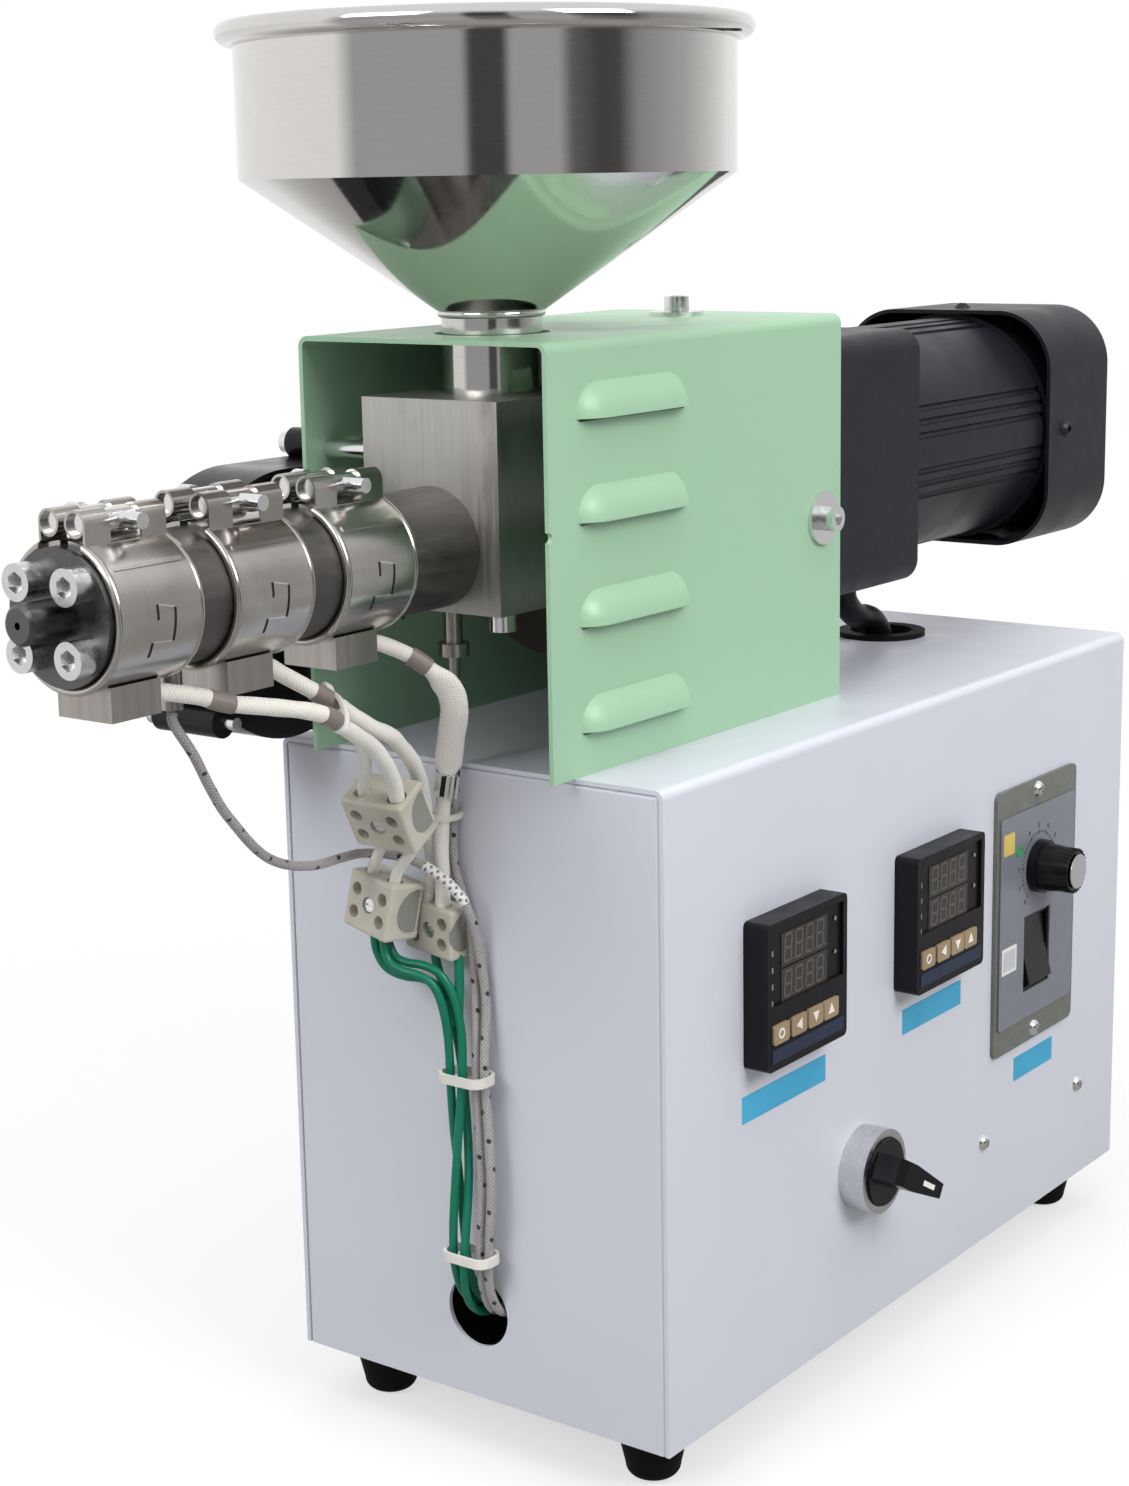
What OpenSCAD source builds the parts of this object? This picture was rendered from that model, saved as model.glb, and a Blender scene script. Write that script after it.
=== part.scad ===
// Bench filament extruder: a sheet steel cabinet with two temperature controllers,
// a speed controller and a selector, carrying a heated barrel, a hopper, a louvred
// hood and a gear motor. +X runs from the die to the motor, -Y is the control side.

/* [Cabinet] */
// Length of the cabinet, front panel to rear panel
cabinet_length = 316; // [312:1:330]
// Width of the cabinet
cabinet_width = 150; // [146:1:156]
// Height of the cabinet without its feet
cabinet_height = 212; // [206:1:220]
// Thickness of the cabinet sheet
cabinet_sheet = 1.5; // [1.2:0.1:2]
// Outer bend radius of the cabinet sheet
cabinet_bend = 3; // [2.4:0.1:4]
// Height of the rubber feet
foot_height = 19; // [14:1:24]
// Diameter of a foot at the top
foot_top = 25; // [22:1:28]
// Distance of a foot from the cabinet's edges
foot_inset = 20; // [16:1:26]
// Diameter of the cable hole in the front panel
front_hole = 24; // [23:1:28]
// Height of the front cable hole above the cabinet's floor
front_hole_rise = 30; // [26:1:40]
// Diameter of the cable hole in the roof
roof_hole = 30; // [28:1:32]

/* [Drive line] */
// Distance of the drive line from the control side
machine_y = 79; // [77:1:80]
// Height of the barrel axis above the cabinet roof
barrel_rise = 67.5; // [67:0.5:69]
// Height of the motor axis above the barrel axis
gear_offset = 9; // [8:0.5:10]
// Place of the mounting plate along the cabinet
plate_x = 136; // [132:1:138]
// Thickness of the mounting plate
plate_thick = 12; // [10:1:14]
// Gap between the gearhead and the hood on each side
hood_over = 2.5; // [2:0.25:3]
// Length of the gearhead
gearhead_length = 65; // [60:1:70]
// Step from the gearhead's side down to the motor body
motor_step = 2; // [2:0.25:4]
// Length of the motor body
motor_length = 105; // [98:1:112]
// Step from the gearhead's side out to the fan cover
cover_step = 1; // [0:0.25:1]
// Length of the fan cover
cover_length = 51; // [48:1:56]
// Wall of the fan cover
cover_wall = 1.5; // [1.2:0.1:2]

/* [Barrel] */
// Outer diameter of the barrel
barrel_diameter = 37; // [36:0.5:38]
// Bore of the barrel
barrel_bore = 18; // [17:0.5:18.5]
// Length of the barrel ahead of the feed block
barrel_length = 137; // [134:1:142]
// Thickness of the die head
die_thick = 14; // [12:1:16]
// Length of the nozzle boss
nozzle_length = 14; // [12:1:16]
// Diameter of the nozzle hole
nozzle_hole = 2; // [1.5:0.25:3]
// Radial gap between the screw and the barrel
screw_gap = 0.3; // [0.25:0.05:0.4]
// Pitch of the screw flight
screw_pitch = 18; // [16:1:20]

/* [Band heaters] */
// Width of a band heater along the barrel
band_width = 29; // [27:1:30]
// Thickness of the mica band
mica_thick = 1.3; // [1.1:0.1:1.4]
// Thickness of the outer strap
strap_thick = 0.7; // [0.6:0.05:0.8]
// Diameter of the rolled bead at the front edge
bead_diameter = 2.4; // [2.2:0.1:2.6]
// Diameter of the clamp trunnions
trunnion_diameter = 6; // [5.6:0.1:6.2]
// Height of the trunnions above the barrel axis
trunnion_rise = 24.2; // [24:0.1:24.8]
// Diameter of the clamp bolt
clamp_bolt = 4.4; // [4:0.1:4.5]
// Drop of the terminal boxes below the barrel axis
terminal_drop = 28; // [27:0.5:29]

/* [Feed] */
// Length of the feed block
block_length = 64; // [62:1:66]
// Width of the feed block
block_width = 52; // [50:1:54]
// Height of the feed block
block_height = 64; // [62:1:66]
// Part of the feed block below the barrel axis
block_drop = 19.5; // [19:0.5:21]
// Place of the hopper axis along the cabinet
feed_x = 25; // [23:1:27]
// Diameter of the feed throat
throat_diameter = 26; // [24:1:27]
// Outer diameter of the hopper's neck
neck_diameter = 31; // [30:0.5:32]
// Depth of the neck in the feed block
neck_depth = 8; // [6:1:10]
// Outer diameter of the hopper's bowl
bowl_diameter = 151; // [140:1:154]
// Height of the hopper's rim above its weld
bowl_rise = 86; // [82:1:90]
// Height of the bowl's straight wall
bowl_height = 45; // [40:1:50]
// Height of the weld between neck and cone above the hood
weld_over = 6; // [5:1:10]
// Thickness of the hopper sheet
hopper_sheet = 1.2; // [1:0.1:1.5]
// Diameter of the rolled rim
rim_diameter = 5.5; // [5:0.25:6]

/* [Hood] */
// Length of the hood
hood_length = 165; // [163:1:168]
// Width of the hood
hood_width = 95; // [95:0.5:96]
// Height of the hood above the gearhead
hood_rise = 8.5; // [7.5:0.5:11]
// Thickness of the hood sheet
hood_sheet = 1.5; // [1.2:0.1:1.6]
// Outer bend radius of the hood sheet
hood_bend = 3.5; // [3:0.1:4.5]
// Distance of the hood's front edge ahead of the cabinet
hood_lead = 11; // [9:1:12]
// Length of a louvre
louvre_length = 58; // [50:1:60]
// Height of a louvre
louvre_height = 10.5; // [9:0.5:12]
// Depth of a louvre outside the sheet
louvre_proud = 5; // [4.5:0.25:5.5]

/* [Blower] */
// Radius of the blower's case
blower_radius = 42; // [40:1:43]
// Width of the blower's case
blower_width = 26; // [24:1:28]
// Wall of the blower's case
blower_wall = 2; // [1.6:0.1:2.4]

/* [Control panel] */
// Side of a temperature controller's face
controller_side = 48; // [46:1:48]
// Depth of a controller's face ahead of the panel
controller_proud = 9; // [7:0.5:10]
// Stroke of a controller's buttons
button_stroke = 0.5; // [0.3:0.1:0.6]
// Width of the speed controller's plate
speed_width = 64; // [62:1:66]
// Height of the speed controller's plate
speed_height = 100; // [98:1:102]
// Diameter of the speed knob
knob_diameter = 18; // [16:1:19]
// Depth of the speed knob ahead of the panel
knob_reach = 18; // [16:1:20]
// Width of the run switch opening
switch_width = 21; // [20:0.5:22]
// Height of the run switch opening
switch_height = 29; // [28:0.5:30]
// Diameter of the selector's ring
selector_diameter = 29; // [28:0.5:30]
// Reach of the selector's lever ahead of the panel
selector_reach = 24; // [22:1:25]

/* [Hidden] */

// overrun of every cut, running fit of every shaft, gap of every moving piece
cut = 1;
fit = 0.05;
gap = 0.3;

// sizes, heights and places that follow from the sizes above
gearhead_side = hood_width - 2 * hood_over;
motor_diameter = gearhead_side - 2 * motor_step;
cover_side = gearhead_side + 2 * cover_step;
hood_height = barrel_rise + gear_offset + gearhead_side / 2 + hood_rise;
roof_z = foot_height + cabinet_height;
axis_z = roof_z + barrel_rise;
motor_z = axis_z + gear_offset;
block_x = feed_x - block_length / 2;
block_z = axis_z - block_drop;
block_top = block_z + block_height;
hood_top = roof_z + hood_height;
weld_rise = hood_top + weld_over - block_top;
hopper_rise = weld_rise + bowl_rise;
rim_top = block_top + hopper_rise;
rim_radius = bowl_diameter / 2 + rim_diameter;
barrel_front = block_x - barrel_length;
die_front = barrel_front - die_thick;
nozzle_tip = die_front - nozzle_length;
gearhead_x = plate_x + plate_thick;
motor_x = gearhead_x + gearhead_length;
end_bell_length = 18;
cover_lap = 3;
cover_x = motor_x + motor_length - cover_lap;
machine_end = cover_x + cover_length;
mid_x = (machine_end + nozzle_tip) / 2;
mid_y = (machine_y + rim_radius - selector_reach) / 2;
hood_y = machine_y - hood_width / 2;
hood_inner = hood_width - 2 * hood_sheet;

// fasteners: shank, head diameter, head height, socket
m5 = [5, 8.5, 5, 4.6];
m6 = [6, 10, 6, 5.8];
washer_diameter = 18;
washer_thick = 1.4;

module placed() {
    translate([-mid_x, -mid_y, 0]) children();
}

// a block between two corners
module block(low, high) {
    translate(low) cube(high - low);
}

// round bars along the three axes, each from a to b
module bar_x(a, b, r, y, z) {
    translate([a, y, z]) rotate([0, 90, 0]) cylinder(h = b - a, r = r, $fn = 64);
}

module bar_y(a, b, r, x, z) {
    translate([x, a, z]) rotate([-90, 0, 0]) cylinder(h = b - a, r = r, $fn = 64);
}

module bar_z(a, b, r, x, y) {
    translate([x, y, a]) cylinder(h = b - a, r = r, $fn = 64);
}

// a flat rectangle about its centre with round corners
module rounded(w, h, r) {
    union() {
        square([w - 2 * r, h], center = true);
        square([w, h - 2 * r], center = true);
        for (i = [-1, 1], j = [-1, 1])
            translate([i * (w / 2 - r), j * (h / 2 - r)]) circle(r = r, $fn = 48);
    }
}

// a rounded block along X from a to b, centred on y and z
module rounded_x(a, b, w, h, r, y, z) {
    translate([a, y, z]) rotate([90, 0, 90]) linear_extrude(b - a) rounded(w, h, r);
}

// a plate on the control side from y = a to y = b, centred on x and z
module rounded_y(a, b, w, h, r, x, z) {
    translate([x, b, z]) rotate([90, 0, 0]) linear_extrude(b - a) rounded(w, h, r);
}

// an upright arch outline: square foot, two rounded top corners
module arch(w, h, r) {
    union() {
        square([w, h - r]);
        translate([r, 0]) square([w - 2 * r, h]);
        translate([r, h - r]) circle(r = r, $fn = 48);
        translate([w - r, h - r]) circle(r = r, $fn = 48);
    }
}

// a bent sheet arch running along X
module arch_sheet(length, w, h, r, t) {
    rotate([90, 0, 90]) linear_extrude(length) difference() {
        arch(w, h, r);
        translate([t, -cut]) arch(w - 2 * t, h - t + cut, r - t);
    }
}

// cap screw with its head's underside at the origin and its head along +Z
module cap_screw(s, length) {
    difference() {
        union() {
            cylinder(h = s[2], d = s[1], $fn = 48);
            translate([0, 0, -length]) cylinder(h = length + s[2] / 2, d = s[0], $fn = 48);
        }
        translate([0, 0, s[2] / 2]) cylinder(h = s[2], d = s[3], $fn = 6);
    }
}

// pan head screw with a cross recess, its head along +Z
module pan_screw(d, h, shank, length) {
    slot_share = 0.18;
    difference() {
        union() {
            intersection() {
                translate([0, 0, h - d * d / (8 * h) - h / 2])
                    sphere(r = d * d / (8 * h) + h / 2, $fn = 48);
                cylinder(h = h, d = d, $fn = 48);
            }
            translate([0, 0, -length]) cylinder(h = length + h / 4, d = shank, $fn = 48);
        }
        for (a = [0, 90]) rotate([0, 0, a]) translate([0, 0, h])
            cube([d / 2, d * slot_share, h], center = true);
    }
}

// sheet metal of the cabinet

controller_x = [cabinet_length * 0.21203, cabinet_length * 0.51171];
controller_z = roof_z - 74;
controller_cutout = 45;
controller_depth = 70;
speed_x = cabinet_length * 0.76456;
speed_z = foot_height + 119;
speed_cutout_share = [0.88, 0.76];
selector_x = cabinet_length * 0.36646;
selector_z = foot_height + 58.5;
selector_barrel = 22;
panel_screw_places = [[cabinet_length * 0.65063, foot_height + 38.2],
    [cabinet_length * 0.89652, foot_height + 38]];
panel_screw_hole = 3.2;
speed_screw_pitch = 92;
roof_hole_x = cabinet_length * 0.84177;
front_hole_y = 74.5;
plate_screw_y = [-30, 30];
plate_foot_hole = 6.2;
inlet_width = 27.4;
inlet_height = 20;
inlet_z = foot_height + 50;
flange_depth = 12;
switch_z = speed_z - 15;
knob_z = speed_z + 17;
knob_shaft = 6;

module cabinet_shell() {
    color([0.83, 0.84, 0.88]) placed() difference() {
        translate([0, 0, foot_height])
            arch_sheet(cabinet_length, cabinet_width, cabinet_height, cabinet_bend, cabinet_sheet);
        for (x = controller_x)
            block([x - controller_cutout / 2, -cut, controller_z - controller_cutout / 2],
                [x + controller_cutout / 2, cabinet_sheet + cut, controller_z + controller_cutout / 2]);
        block([speed_x - speed_width * speed_cutout_share[0] / 2, -cut,
            speed_z - speed_height * speed_cutout_share[1] / 2],
            [speed_x + speed_width * speed_cutout_share[0] / 2, cabinet_sheet + cut,
            speed_z + speed_height * speed_cutout_share[1] / 2]);
        bar_y(-cut, cabinet_sheet + cut, selector_barrel / 2, selector_x, selector_z);
        for (p = panel_screw_places)
            bar_y(-cut, cabinet_sheet + cut, panel_screw_hole / 2, p[0], p[1]);
        for (s = [-1, 1])
            bar_y(-cut, cabinet_sheet + cut, panel_screw_hole / 2, speed_x, speed_z + s * speed_screw_pitch / 2);
        bar_z(roof_z - cabinet_sheet - cut, roof_z + cut, roof_hole / 2, roof_hole_x, machine_y);
        for (y = plate_screw_y)
            bar_z(roof_z - cabinet_sheet - cut, roof_z + cut, m6[0] / 2,
                plate_x + plate_thick / 2, machine_y + y);
    }
}

// a shallow pan with its flat face at x = 0 and flanges along +X on three sides
module pan(w, h, depth, r, c, t) {
    difference() {
        intersection() {
            rotate([90, 0, 90]) linear_extrude(depth) arch(w, h, c);
            linear_extrude(h) union() {
                translate([r, 0]) square([depth - r, w]);
                translate([0, r]) square([depth, w - 2 * r]);
                for (y = [r, w - r]) translate([r, y]) circle(r = r, $fn = 48);
            }
            translate([0, w, 0]) rotate([90, 0, 0]) linear_extrude(w) union() {
                square([depth, h - r]);
                translate([r, 0]) square([depth - r, h]);
                translate([r, h - r]) circle(r = r, $fn = 48);
            }
        }
        translate([t, t, -cut]) cube([depth, w - 2 * t, h - t + cut]);
    }
}

module end_pan() {
    translate([0, cabinet_sheet, foot_height])
        pan(cabinet_width - 2 * cabinet_sheet, cabinet_height - cabinet_sheet,
            flange_depth, cabinet_sheet, cabinet_bend - cabinet_sheet, cabinet_sheet);
}

module cabinet_front_panel() {
    color([0.83, 0.84, 0.88]) placed() difference() {
        end_pan();
        bar_x(-cut, cabinet_sheet + cut, front_hole / 2, front_hole_y, foot_height + front_hole_rise);
    }
}

module cabinet_rear_panel() {
    color([0.83, 0.84, 0.88]) placed() difference() {
        translate([cabinet_length, 0, 0]) mirror([1, 0, 0]) end_pan();
        block([cabinet_length - cabinet_sheet - cut, cabinet_width / 2 - inlet_width / 2,
            inlet_z - inlet_height / 2],
            [cabinet_length + cut, cabinet_width / 2 + inlet_width / 2, inlet_z + inlet_height / 2]);
    }
}

base_lip = 10;
foot_stem = 7;

module cabinet_base() {
    color([0.7, 0.71, 0.74]) placed() difference() {
        block([cabinet_sheet, cabinet_sheet, foot_height],
            [cabinet_length - cabinet_sheet, cabinet_width - cabinet_sheet, foot_height + base_lip]);
        block([-cut, 2 * cabinet_sheet, foot_height + cabinet_sheet],
            [cabinet_length + cut, cabinet_width - 2 * cabinet_sheet, foot_height + base_lip + cut]);
        for (x = [0, cabinet_length - flange_depth - cabinet_sheet])
            block([x, 0, foot_height + cabinet_sheet],
                [x + flange_depth + cabinet_sheet, cabinet_width, foot_height + base_lip + cut]);
        for (x = [0, cabinet_length - flange_depth], y = [0, cabinet_width - 2 * cabinet_sheet])
            block([x, y, foot_height - cut],
                [x + flange_depth, y + 2 * cabinet_sheet, foot_height + base_lip + cut]);
        for (x = [foot_inset, cabinet_length - foot_inset], y = [foot_inset, cabinet_width - foot_inset])
            bar_z(foot_height - cut, foot_height + cabinet_sheet + cut, foot_stem / 2, x, y);
    }
}

foot_taper = 3.5;
foot_round = 4;
foot_barb = 1.2;

module foot() {
    rotate_extrude($fn = 64) intersection() {
        union() {
            polygon([[0, 0], [foot_top / 2 - foot_taper - foot_round, 0],
                [foot_top / 2 - foot_taper, foot_round], [foot_top / 2, foot_height], [0, foot_height]]);
            translate([foot_top / 2 - foot_taper - foot_round, foot_round])
                circle(r = foot_round, $fn = 48);
        }
        square([foot_top, foot_height]);
    }
    cylinder(h = foot_height + cabinet_sheet, d = foot_stem, $fn = 48);
    translate([0, 0, foot_height + cabinet_sheet])
        cylinder(h = foot_barb * 2, r1 = foot_stem / 2 + foot_barb, r2 = foot_stem / 2 - foot_barb, $fn = 48);
}

module rubber_feet() {
    color([0.1, 0.1, 0.1]) placed()
        for (x = [foot_inset, cabinet_length - foot_inset], y = [foot_inset, cabinet_width - foot_inset])
            translate([x, y, 0]) foot();
}

grommet_wall = 3;
grommet_lip = 2;

module roof_grommet() {
    color([0.08, 0.08, 0.08]) placed() translate([roof_hole_x, machine_y, roof_z - cabinet_sheet])
        difference() {
            union() {
                cylinder(h = cabinet_sheet, d = roof_hole, $fn = 64);
                for (z = [-grommet_lip, cabinet_sheet]) translate([0, 0, z])
                    cylinder(h = grommet_lip, d = roof_hole + 2 * grommet_lip, $fn = 64);
            }
            translate([0, 0, -grommet_lip - cut])
                cylinder(h = cabinet_sheet + 2 * grommet_lip + 2 * cut, d = roof_hole - 2 * grommet_wall, $fn = 64);
        }
}

inlet_depth = 22;
inlet_flange = 2;
inlet_wall = 2;
inlet_pin = [1.6, 12, 4];
inlet_pin_places = [[-7, -2], [0, 3], [7, -2]];

module power_inlet() {
    color([0.1, 0.1, 0.11]) placed() translate([cabinet_length, cabinet_width / 2, inlet_z]) {
        difference() {
            union() {
                block([0, -inlet_width / 2 - inlet_flange, -inlet_height / 2 - inlet_flange],
                    [inlet_flange, inlet_width / 2 + inlet_flange, inlet_height / 2 + inlet_flange]);
                block([-inlet_depth, -inlet_width / 2, -inlet_height / 2],
                    [inlet_flange, inlet_width / 2, inlet_height / 2]);
            }
            block([-inlet_depth + inlet_wall * 2, -inlet_width / 2 + inlet_wall, -inlet_height / 2 + inlet_wall],
                [inlet_flange + cut, inlet_width / 2 - inlet_wall, inlet_height / 2 - inlet_wall]);
        }
        for (p = inlet_pin_places)
            block([-inlet_depth + inlet_wall, p[0] - inlet_pin[0] / 2, p[1] - inlet_pin[2] / 2],
                [-inlet_depth + 2 * inlet_wall + inlet_pin[1], p[0] + inlet_pin[0] / 2, p[1] + inlet_pin[2] / 2]);
    }
}

dome_screw = [6.4, 2.2, 12];

module panel_screws() {
    color([0.75, 0.75, 0.76]) placed() {
        for (p = panel_screw_places) translate([p[0], 0, p[1]]) rotate([90, 0, 0])
            pan_screw(dome_screw[0], dome_screw[1], panel_screw_hole, dome_screw[2]);
        for (s = [-1, 1]) translate([speed_x, -speed_plate, speed_z + s * speed_screw_pitch / 2])
            rotate([90, 0, 0]) pan_screw(dome_screw[0], dome_screw[1], panel_screw_hole, dome_screw[2]);
    }
}

// drive line: plate, bearing housing, bearings, feed block

housing_flange = [hood_inner - 4, 14];
housing_body = 62;
bearing_outer = 47;
bearing_width = 14;
bearing_shaft = 20;
bearing_lip = 12;
lip_bore = 19;
inner_screw_circle = 15;
plate_screw_circle = 27.25;
coupling_diameter = 34;
coupling_room = 40;
shaft_diameter = 15;
hood_screw_rise = 62.5;
housing_x = block_x + block_length;
lip_screw_length = 20;
plate_screw_length = 22;
gearhead_screw_share = 0.408;
gearhead_pitch = gearhead_side * gearhead_screw_share;
hood_screw_length = 14;

module mounting_plate() {
    color([0.72, 0.72, 0.73]) placed() difference() {
        translate([plate_x, machine_y - hood_inner / 2, roof_z]) rotate([90, 0, 90])
            linear_extrude(plate_thick) arch(hood_inner, hood_height - hood_sheet, hood_bend - hood_sheet);
        bar_x(plate_x - cut, gearhead_x + cut, coupling_room / 2, machine_y, axis_z);
        for (a = [45:90:315]) {
            rotate_about_axis(a) bar_x(plate_x - cut, gearhead_x + cut, m5[0] / 2, plate_screw_circle, 0);
            rotate_about_axis(a) translate([gearhead_x - m5[2], plate_screw_circle, 0])
                rotate([0, 90, 0]) cylinder(h = m5[2] + cut, d = m5[1], $fn = 48);
        }
        for (i = [-1, 1], j = [-1, 1])
            bar_x(plate_x - cut, gearhead_x + cut, m6[0] / 2,
                machine_y + i * gearhead_pitch, motor_z + j * gearhead_pitch);
        for (y = plate_screw_y)
            bar_z(roof_z - cut, roof_z + plate_screw_length - m6[2], m6[0] / 2,
                plate_x + plate_thick / 2, machine_y + y);
        for (s = [0, 1])
            translate([plate_x + plate_thick / 2, machine_y, roof_z + hood_screw_rise]) rotate([0, 0, s * 180])
                bar_y(-hood_inner / 2 - cut, -hood_inner / 2 + hood_screw_length, m5[0] / 2, 0, 0);
    }
}

// turns its children, drawn about the origin, onto the barrel axis
module rotate_about_axis(a) {
    translate([0, machine_y, axis_z]) rotate([a, 0, 0]) children();
}

module drive_screws() {
    color([0.3, 0.3, 0.32]) placed() {
        for (a = [45:90:315]) {
            rotate_about_axis(a) translate([housing_x + bearing_lip - m5[2], inner_screw_circle, 0])
                rotate([0, 90, 0]) cap_screw(m5, lip_screw_length);
            rotate_about_axis(a) translate([gearhead_x - m5[2], plate_screw_circle, 0])
                rotate([0, 90, 0]) cap_screw(m5, plate_screw_length);
        }
        for (i = [-1, 1], j = [-1, 1])
            translate([motor_x, machine_y + i * gearhead_pitch, motor_z + j * gearhead_pitch])
                rotate([0, 90, 0]) cap_screw(m6, gearhead_length + plate_thick);
        for (y = plate_screw_y)
            translate([plate_x + plate_thick / 2, machine_y + y, roof_z - cabinet_sheet])
                rotate([180, 0, 0]) cap_screw(m6, plate_screw_length - m6[2] + cabinet_sheet);
        for (a = [0:90:270])
            translate([cover_screw_x, machine_y, motor_z]) rotate([a, 0, 0])
                translate([0, -cover_side / 2, 0]) rotate([90, 0, 0])
                    pan_screw(dome_screw[0], dome_screw[1], panel_screw_hole, cover_screw_length);
    }
}

module bearing_housing() {
    color([0.22, 0.16, 0.14]) placed() difference() {
        union() {
            bar_x(housing_x, housing_x + housing_flange[1], housing_flange[0] / 2, machine_y, axis_z);
            bar_x(housing_x, plate_x, housing_body / 2, machine_y, axis_z);
        }
        bar_x(housing_x - cut, plate_x, lip_bore / 2, machine_y, axis_z);
        bar_x(housing_x + bearing_lip, plate_x + cut, bearing_outer / 2, machine_y, axis_z);
        for (a = [45:90:315]) {
            rotate_about_axis(a)
                bar_x(housing_x - cut, housing_x + bearing_lip, m5[0] / 2, inner_screw_circle, 0);
            rotate_about_axis(a)
                bar_x(housing_x + bearing_lip - m5[2], housing_x + bearing_lip + cut, m5[1] / 2,
                    inner_screw_circle, 0);
            rotate_about_axis(a)
                bar_x(gearhead_x - m5[2] - plate_screw_length, plate_x + cut, m5[0] / 2, plate_screw_circle, 0);
        }
    }
}

module screw_bearings() {
    color([0.75, 0.76, 0.78]) placed()
        for (i = [0, 1]) difference() {
            bar_x(housing_x + bearing_lip + i * bearing_width, housing_x + bearing_lip + (i + 1) * bearing_width,
                bearing_outer / 2, machine_y, axis_z);
            bar_x(housing_x, plate_x, bearing_shaft / 2 + fit, machine_y, axis_z);
        }
}

spigot_diameter = 31;
spigot_length = 15;
barrel_seat_gap = 0.1;
block_bore = barrel_bore - 2 * screw_gap + 2 * fit;
block_screw_places = [[-26, -22], [-26, 22]];
block_screw_length = 10;
standoff_diameter = 6;
standoff_x = block_x + 7;
standoff_z = axis_z + 27.2;
standoff_depth = 8;
feed_sensor_x = 2;
feed_sensor_hole = 6;
feed_sensor_depth = 3.5;

module feed_block() {
    color([0.66, 0.65, 0.63]) placed() difference() {
        block([block_x, machine_y - block_width / 2, block_z],
            [block_x + block_length, machine_y + block_width / 2, block_top]);
        bar_x(block_x - cut, block_x + spigot_length, spigot_diameter / 2, machine_y, axis_z);
        bar_x(block_x, block_x + block_length + cut, block_bore / 2, machine_y, axis_z);
        bar_z(axis_z, block_top + cut, throat_diameter / 2, feed_x, machine_y);
        bar_z(block_top - neck_depth, block_top + cut, neck_diameter / 2 + fit, feed_x, machine_y);
        for (a = [45:90:315]) rotate_about_axis(a)
            bar_x(housing_x + bearing_lip - m5[2] - lip_screw_length, housing_x + cut, m5[0] / 2,
                inner_screw_circle, 0);
        for (p = block_screw_places)
            bar_z(block_z - cut, block_z + block_screw_length, m5[0] / 2, feed_x + p[0], machine_y + p[1]);
        bar_y(machine_y + block_width / 2 - standoff_depth, machine_y + block_width / 2 + cut,
            m5[0] / 2, standoff_x, standoff_z);
        bar_z(block_z - cut, block_z + feed_sensor_depth, feed_sensor_hole / 2, feed_sensor_x, machine_y);
    }
}

die_screw_places = [[-9, -9.4], [-9, 9.4], [9, -9.4], [9, 9.4]];
die_screw_depth = 12;
barrel_sensor_x = -119;
sensor_depth = 5;

module barrel() {
    color([0.27, 0.26, 0.26]) placed() difference() {
        union() {
            bar_x(barrel_front, block_x - barrel_seat_gap, barrel_diameter / 2, machine_y, axis_z);
            bar_x(block_x - spigot_length, block_x + spigot_length, spigot_diameter / 2, machine_y, axis_z);
        }
        bar_x(barrel_front - cut, block_x + spigot_length + cut, barrel_bore / 2, machine_y, axis_z);
        for (p = die_screw_places)
            bar_x(barrel_front - cut, barrel_front + die_screw_depth, m6[0] / 2, machine_y + p[0], axis_z + p[1]);
        bar_z(axis_z - barrel_diameter / 2 - cut, axis_z - barrel_diameter / 2 + sensor_depth,
            feed_sensor_hole / 2, barrel_sensor_x, machine_y);
    }
}

boss_diameter = 11;
nozzle_land = 8;

module die_head() {
    color([0.3, 0.28, 0.27]) placed() difference() {
        translate([nozzle_tip, machine_y, axis_z]) rotate([0, 90, 0]) rotate_extrude($fn = 64)
            polygon([
                [nozzle_hole / 2, 0], [boss_diameter / 2 - cut, 0], [boss_diameter / 2, cut],
                [boss_diameter / 2, nozzle_length], [barrel_diameter / 2, nozzle_length],
                [barrel_diameter / 2, nozzle_length + die_thick], [barrel_bore / 2, nozzle_length + die_thick],
                [nozzle_hole / 2, nozzle_land]]);
        for (p = die_screw_places)
            bar_x(die_front - cut, barrel_front + cut, m6[0] / 2, machine_y + p[0], axis_z + p[1]);
    }
}

module die_screws() {
    color([0.2, 0.2, 0.2]) placed() for (p = die_screw_places)
        translate([die_front, machine_y + p[0], axis_z + p[1]]) rotate([0, -90, 0])
            cap_screw(m6, die_thick + die_screw_depth);
}

// band heaters: a split mica band in a bright strap whose ends roll round two trunnions

band_places = [-155.3, -112, -67.7];
trunnion_offset = [4.8, 6.5, 4.8];
box_width = 20;
box_length = 18;
box_shift = -1;
box_sheet = 0.8;
window_length = 11;
lance_slot = [0.9, 8];
lance_angle = -10;
lance_share = 0.3;
mica_split = 1.5;
seam_angle = -38;
band_outer = barrel_diameter / 2 + mica_thick + strap_thick;
loop_radius = trunnion_diameter / 2 + strap_thick;

function box_x(i) = band_places[i] + band_width / 2 + box_shift;

module ring_x(a, b, r_in, r_out) {
    difference() {
        bar_x(a, b, r_out, machine_y, axis_z);
        bar_x(a - cut, b + cut, r_in, machine_y, axis_z);
    }
}

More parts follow.
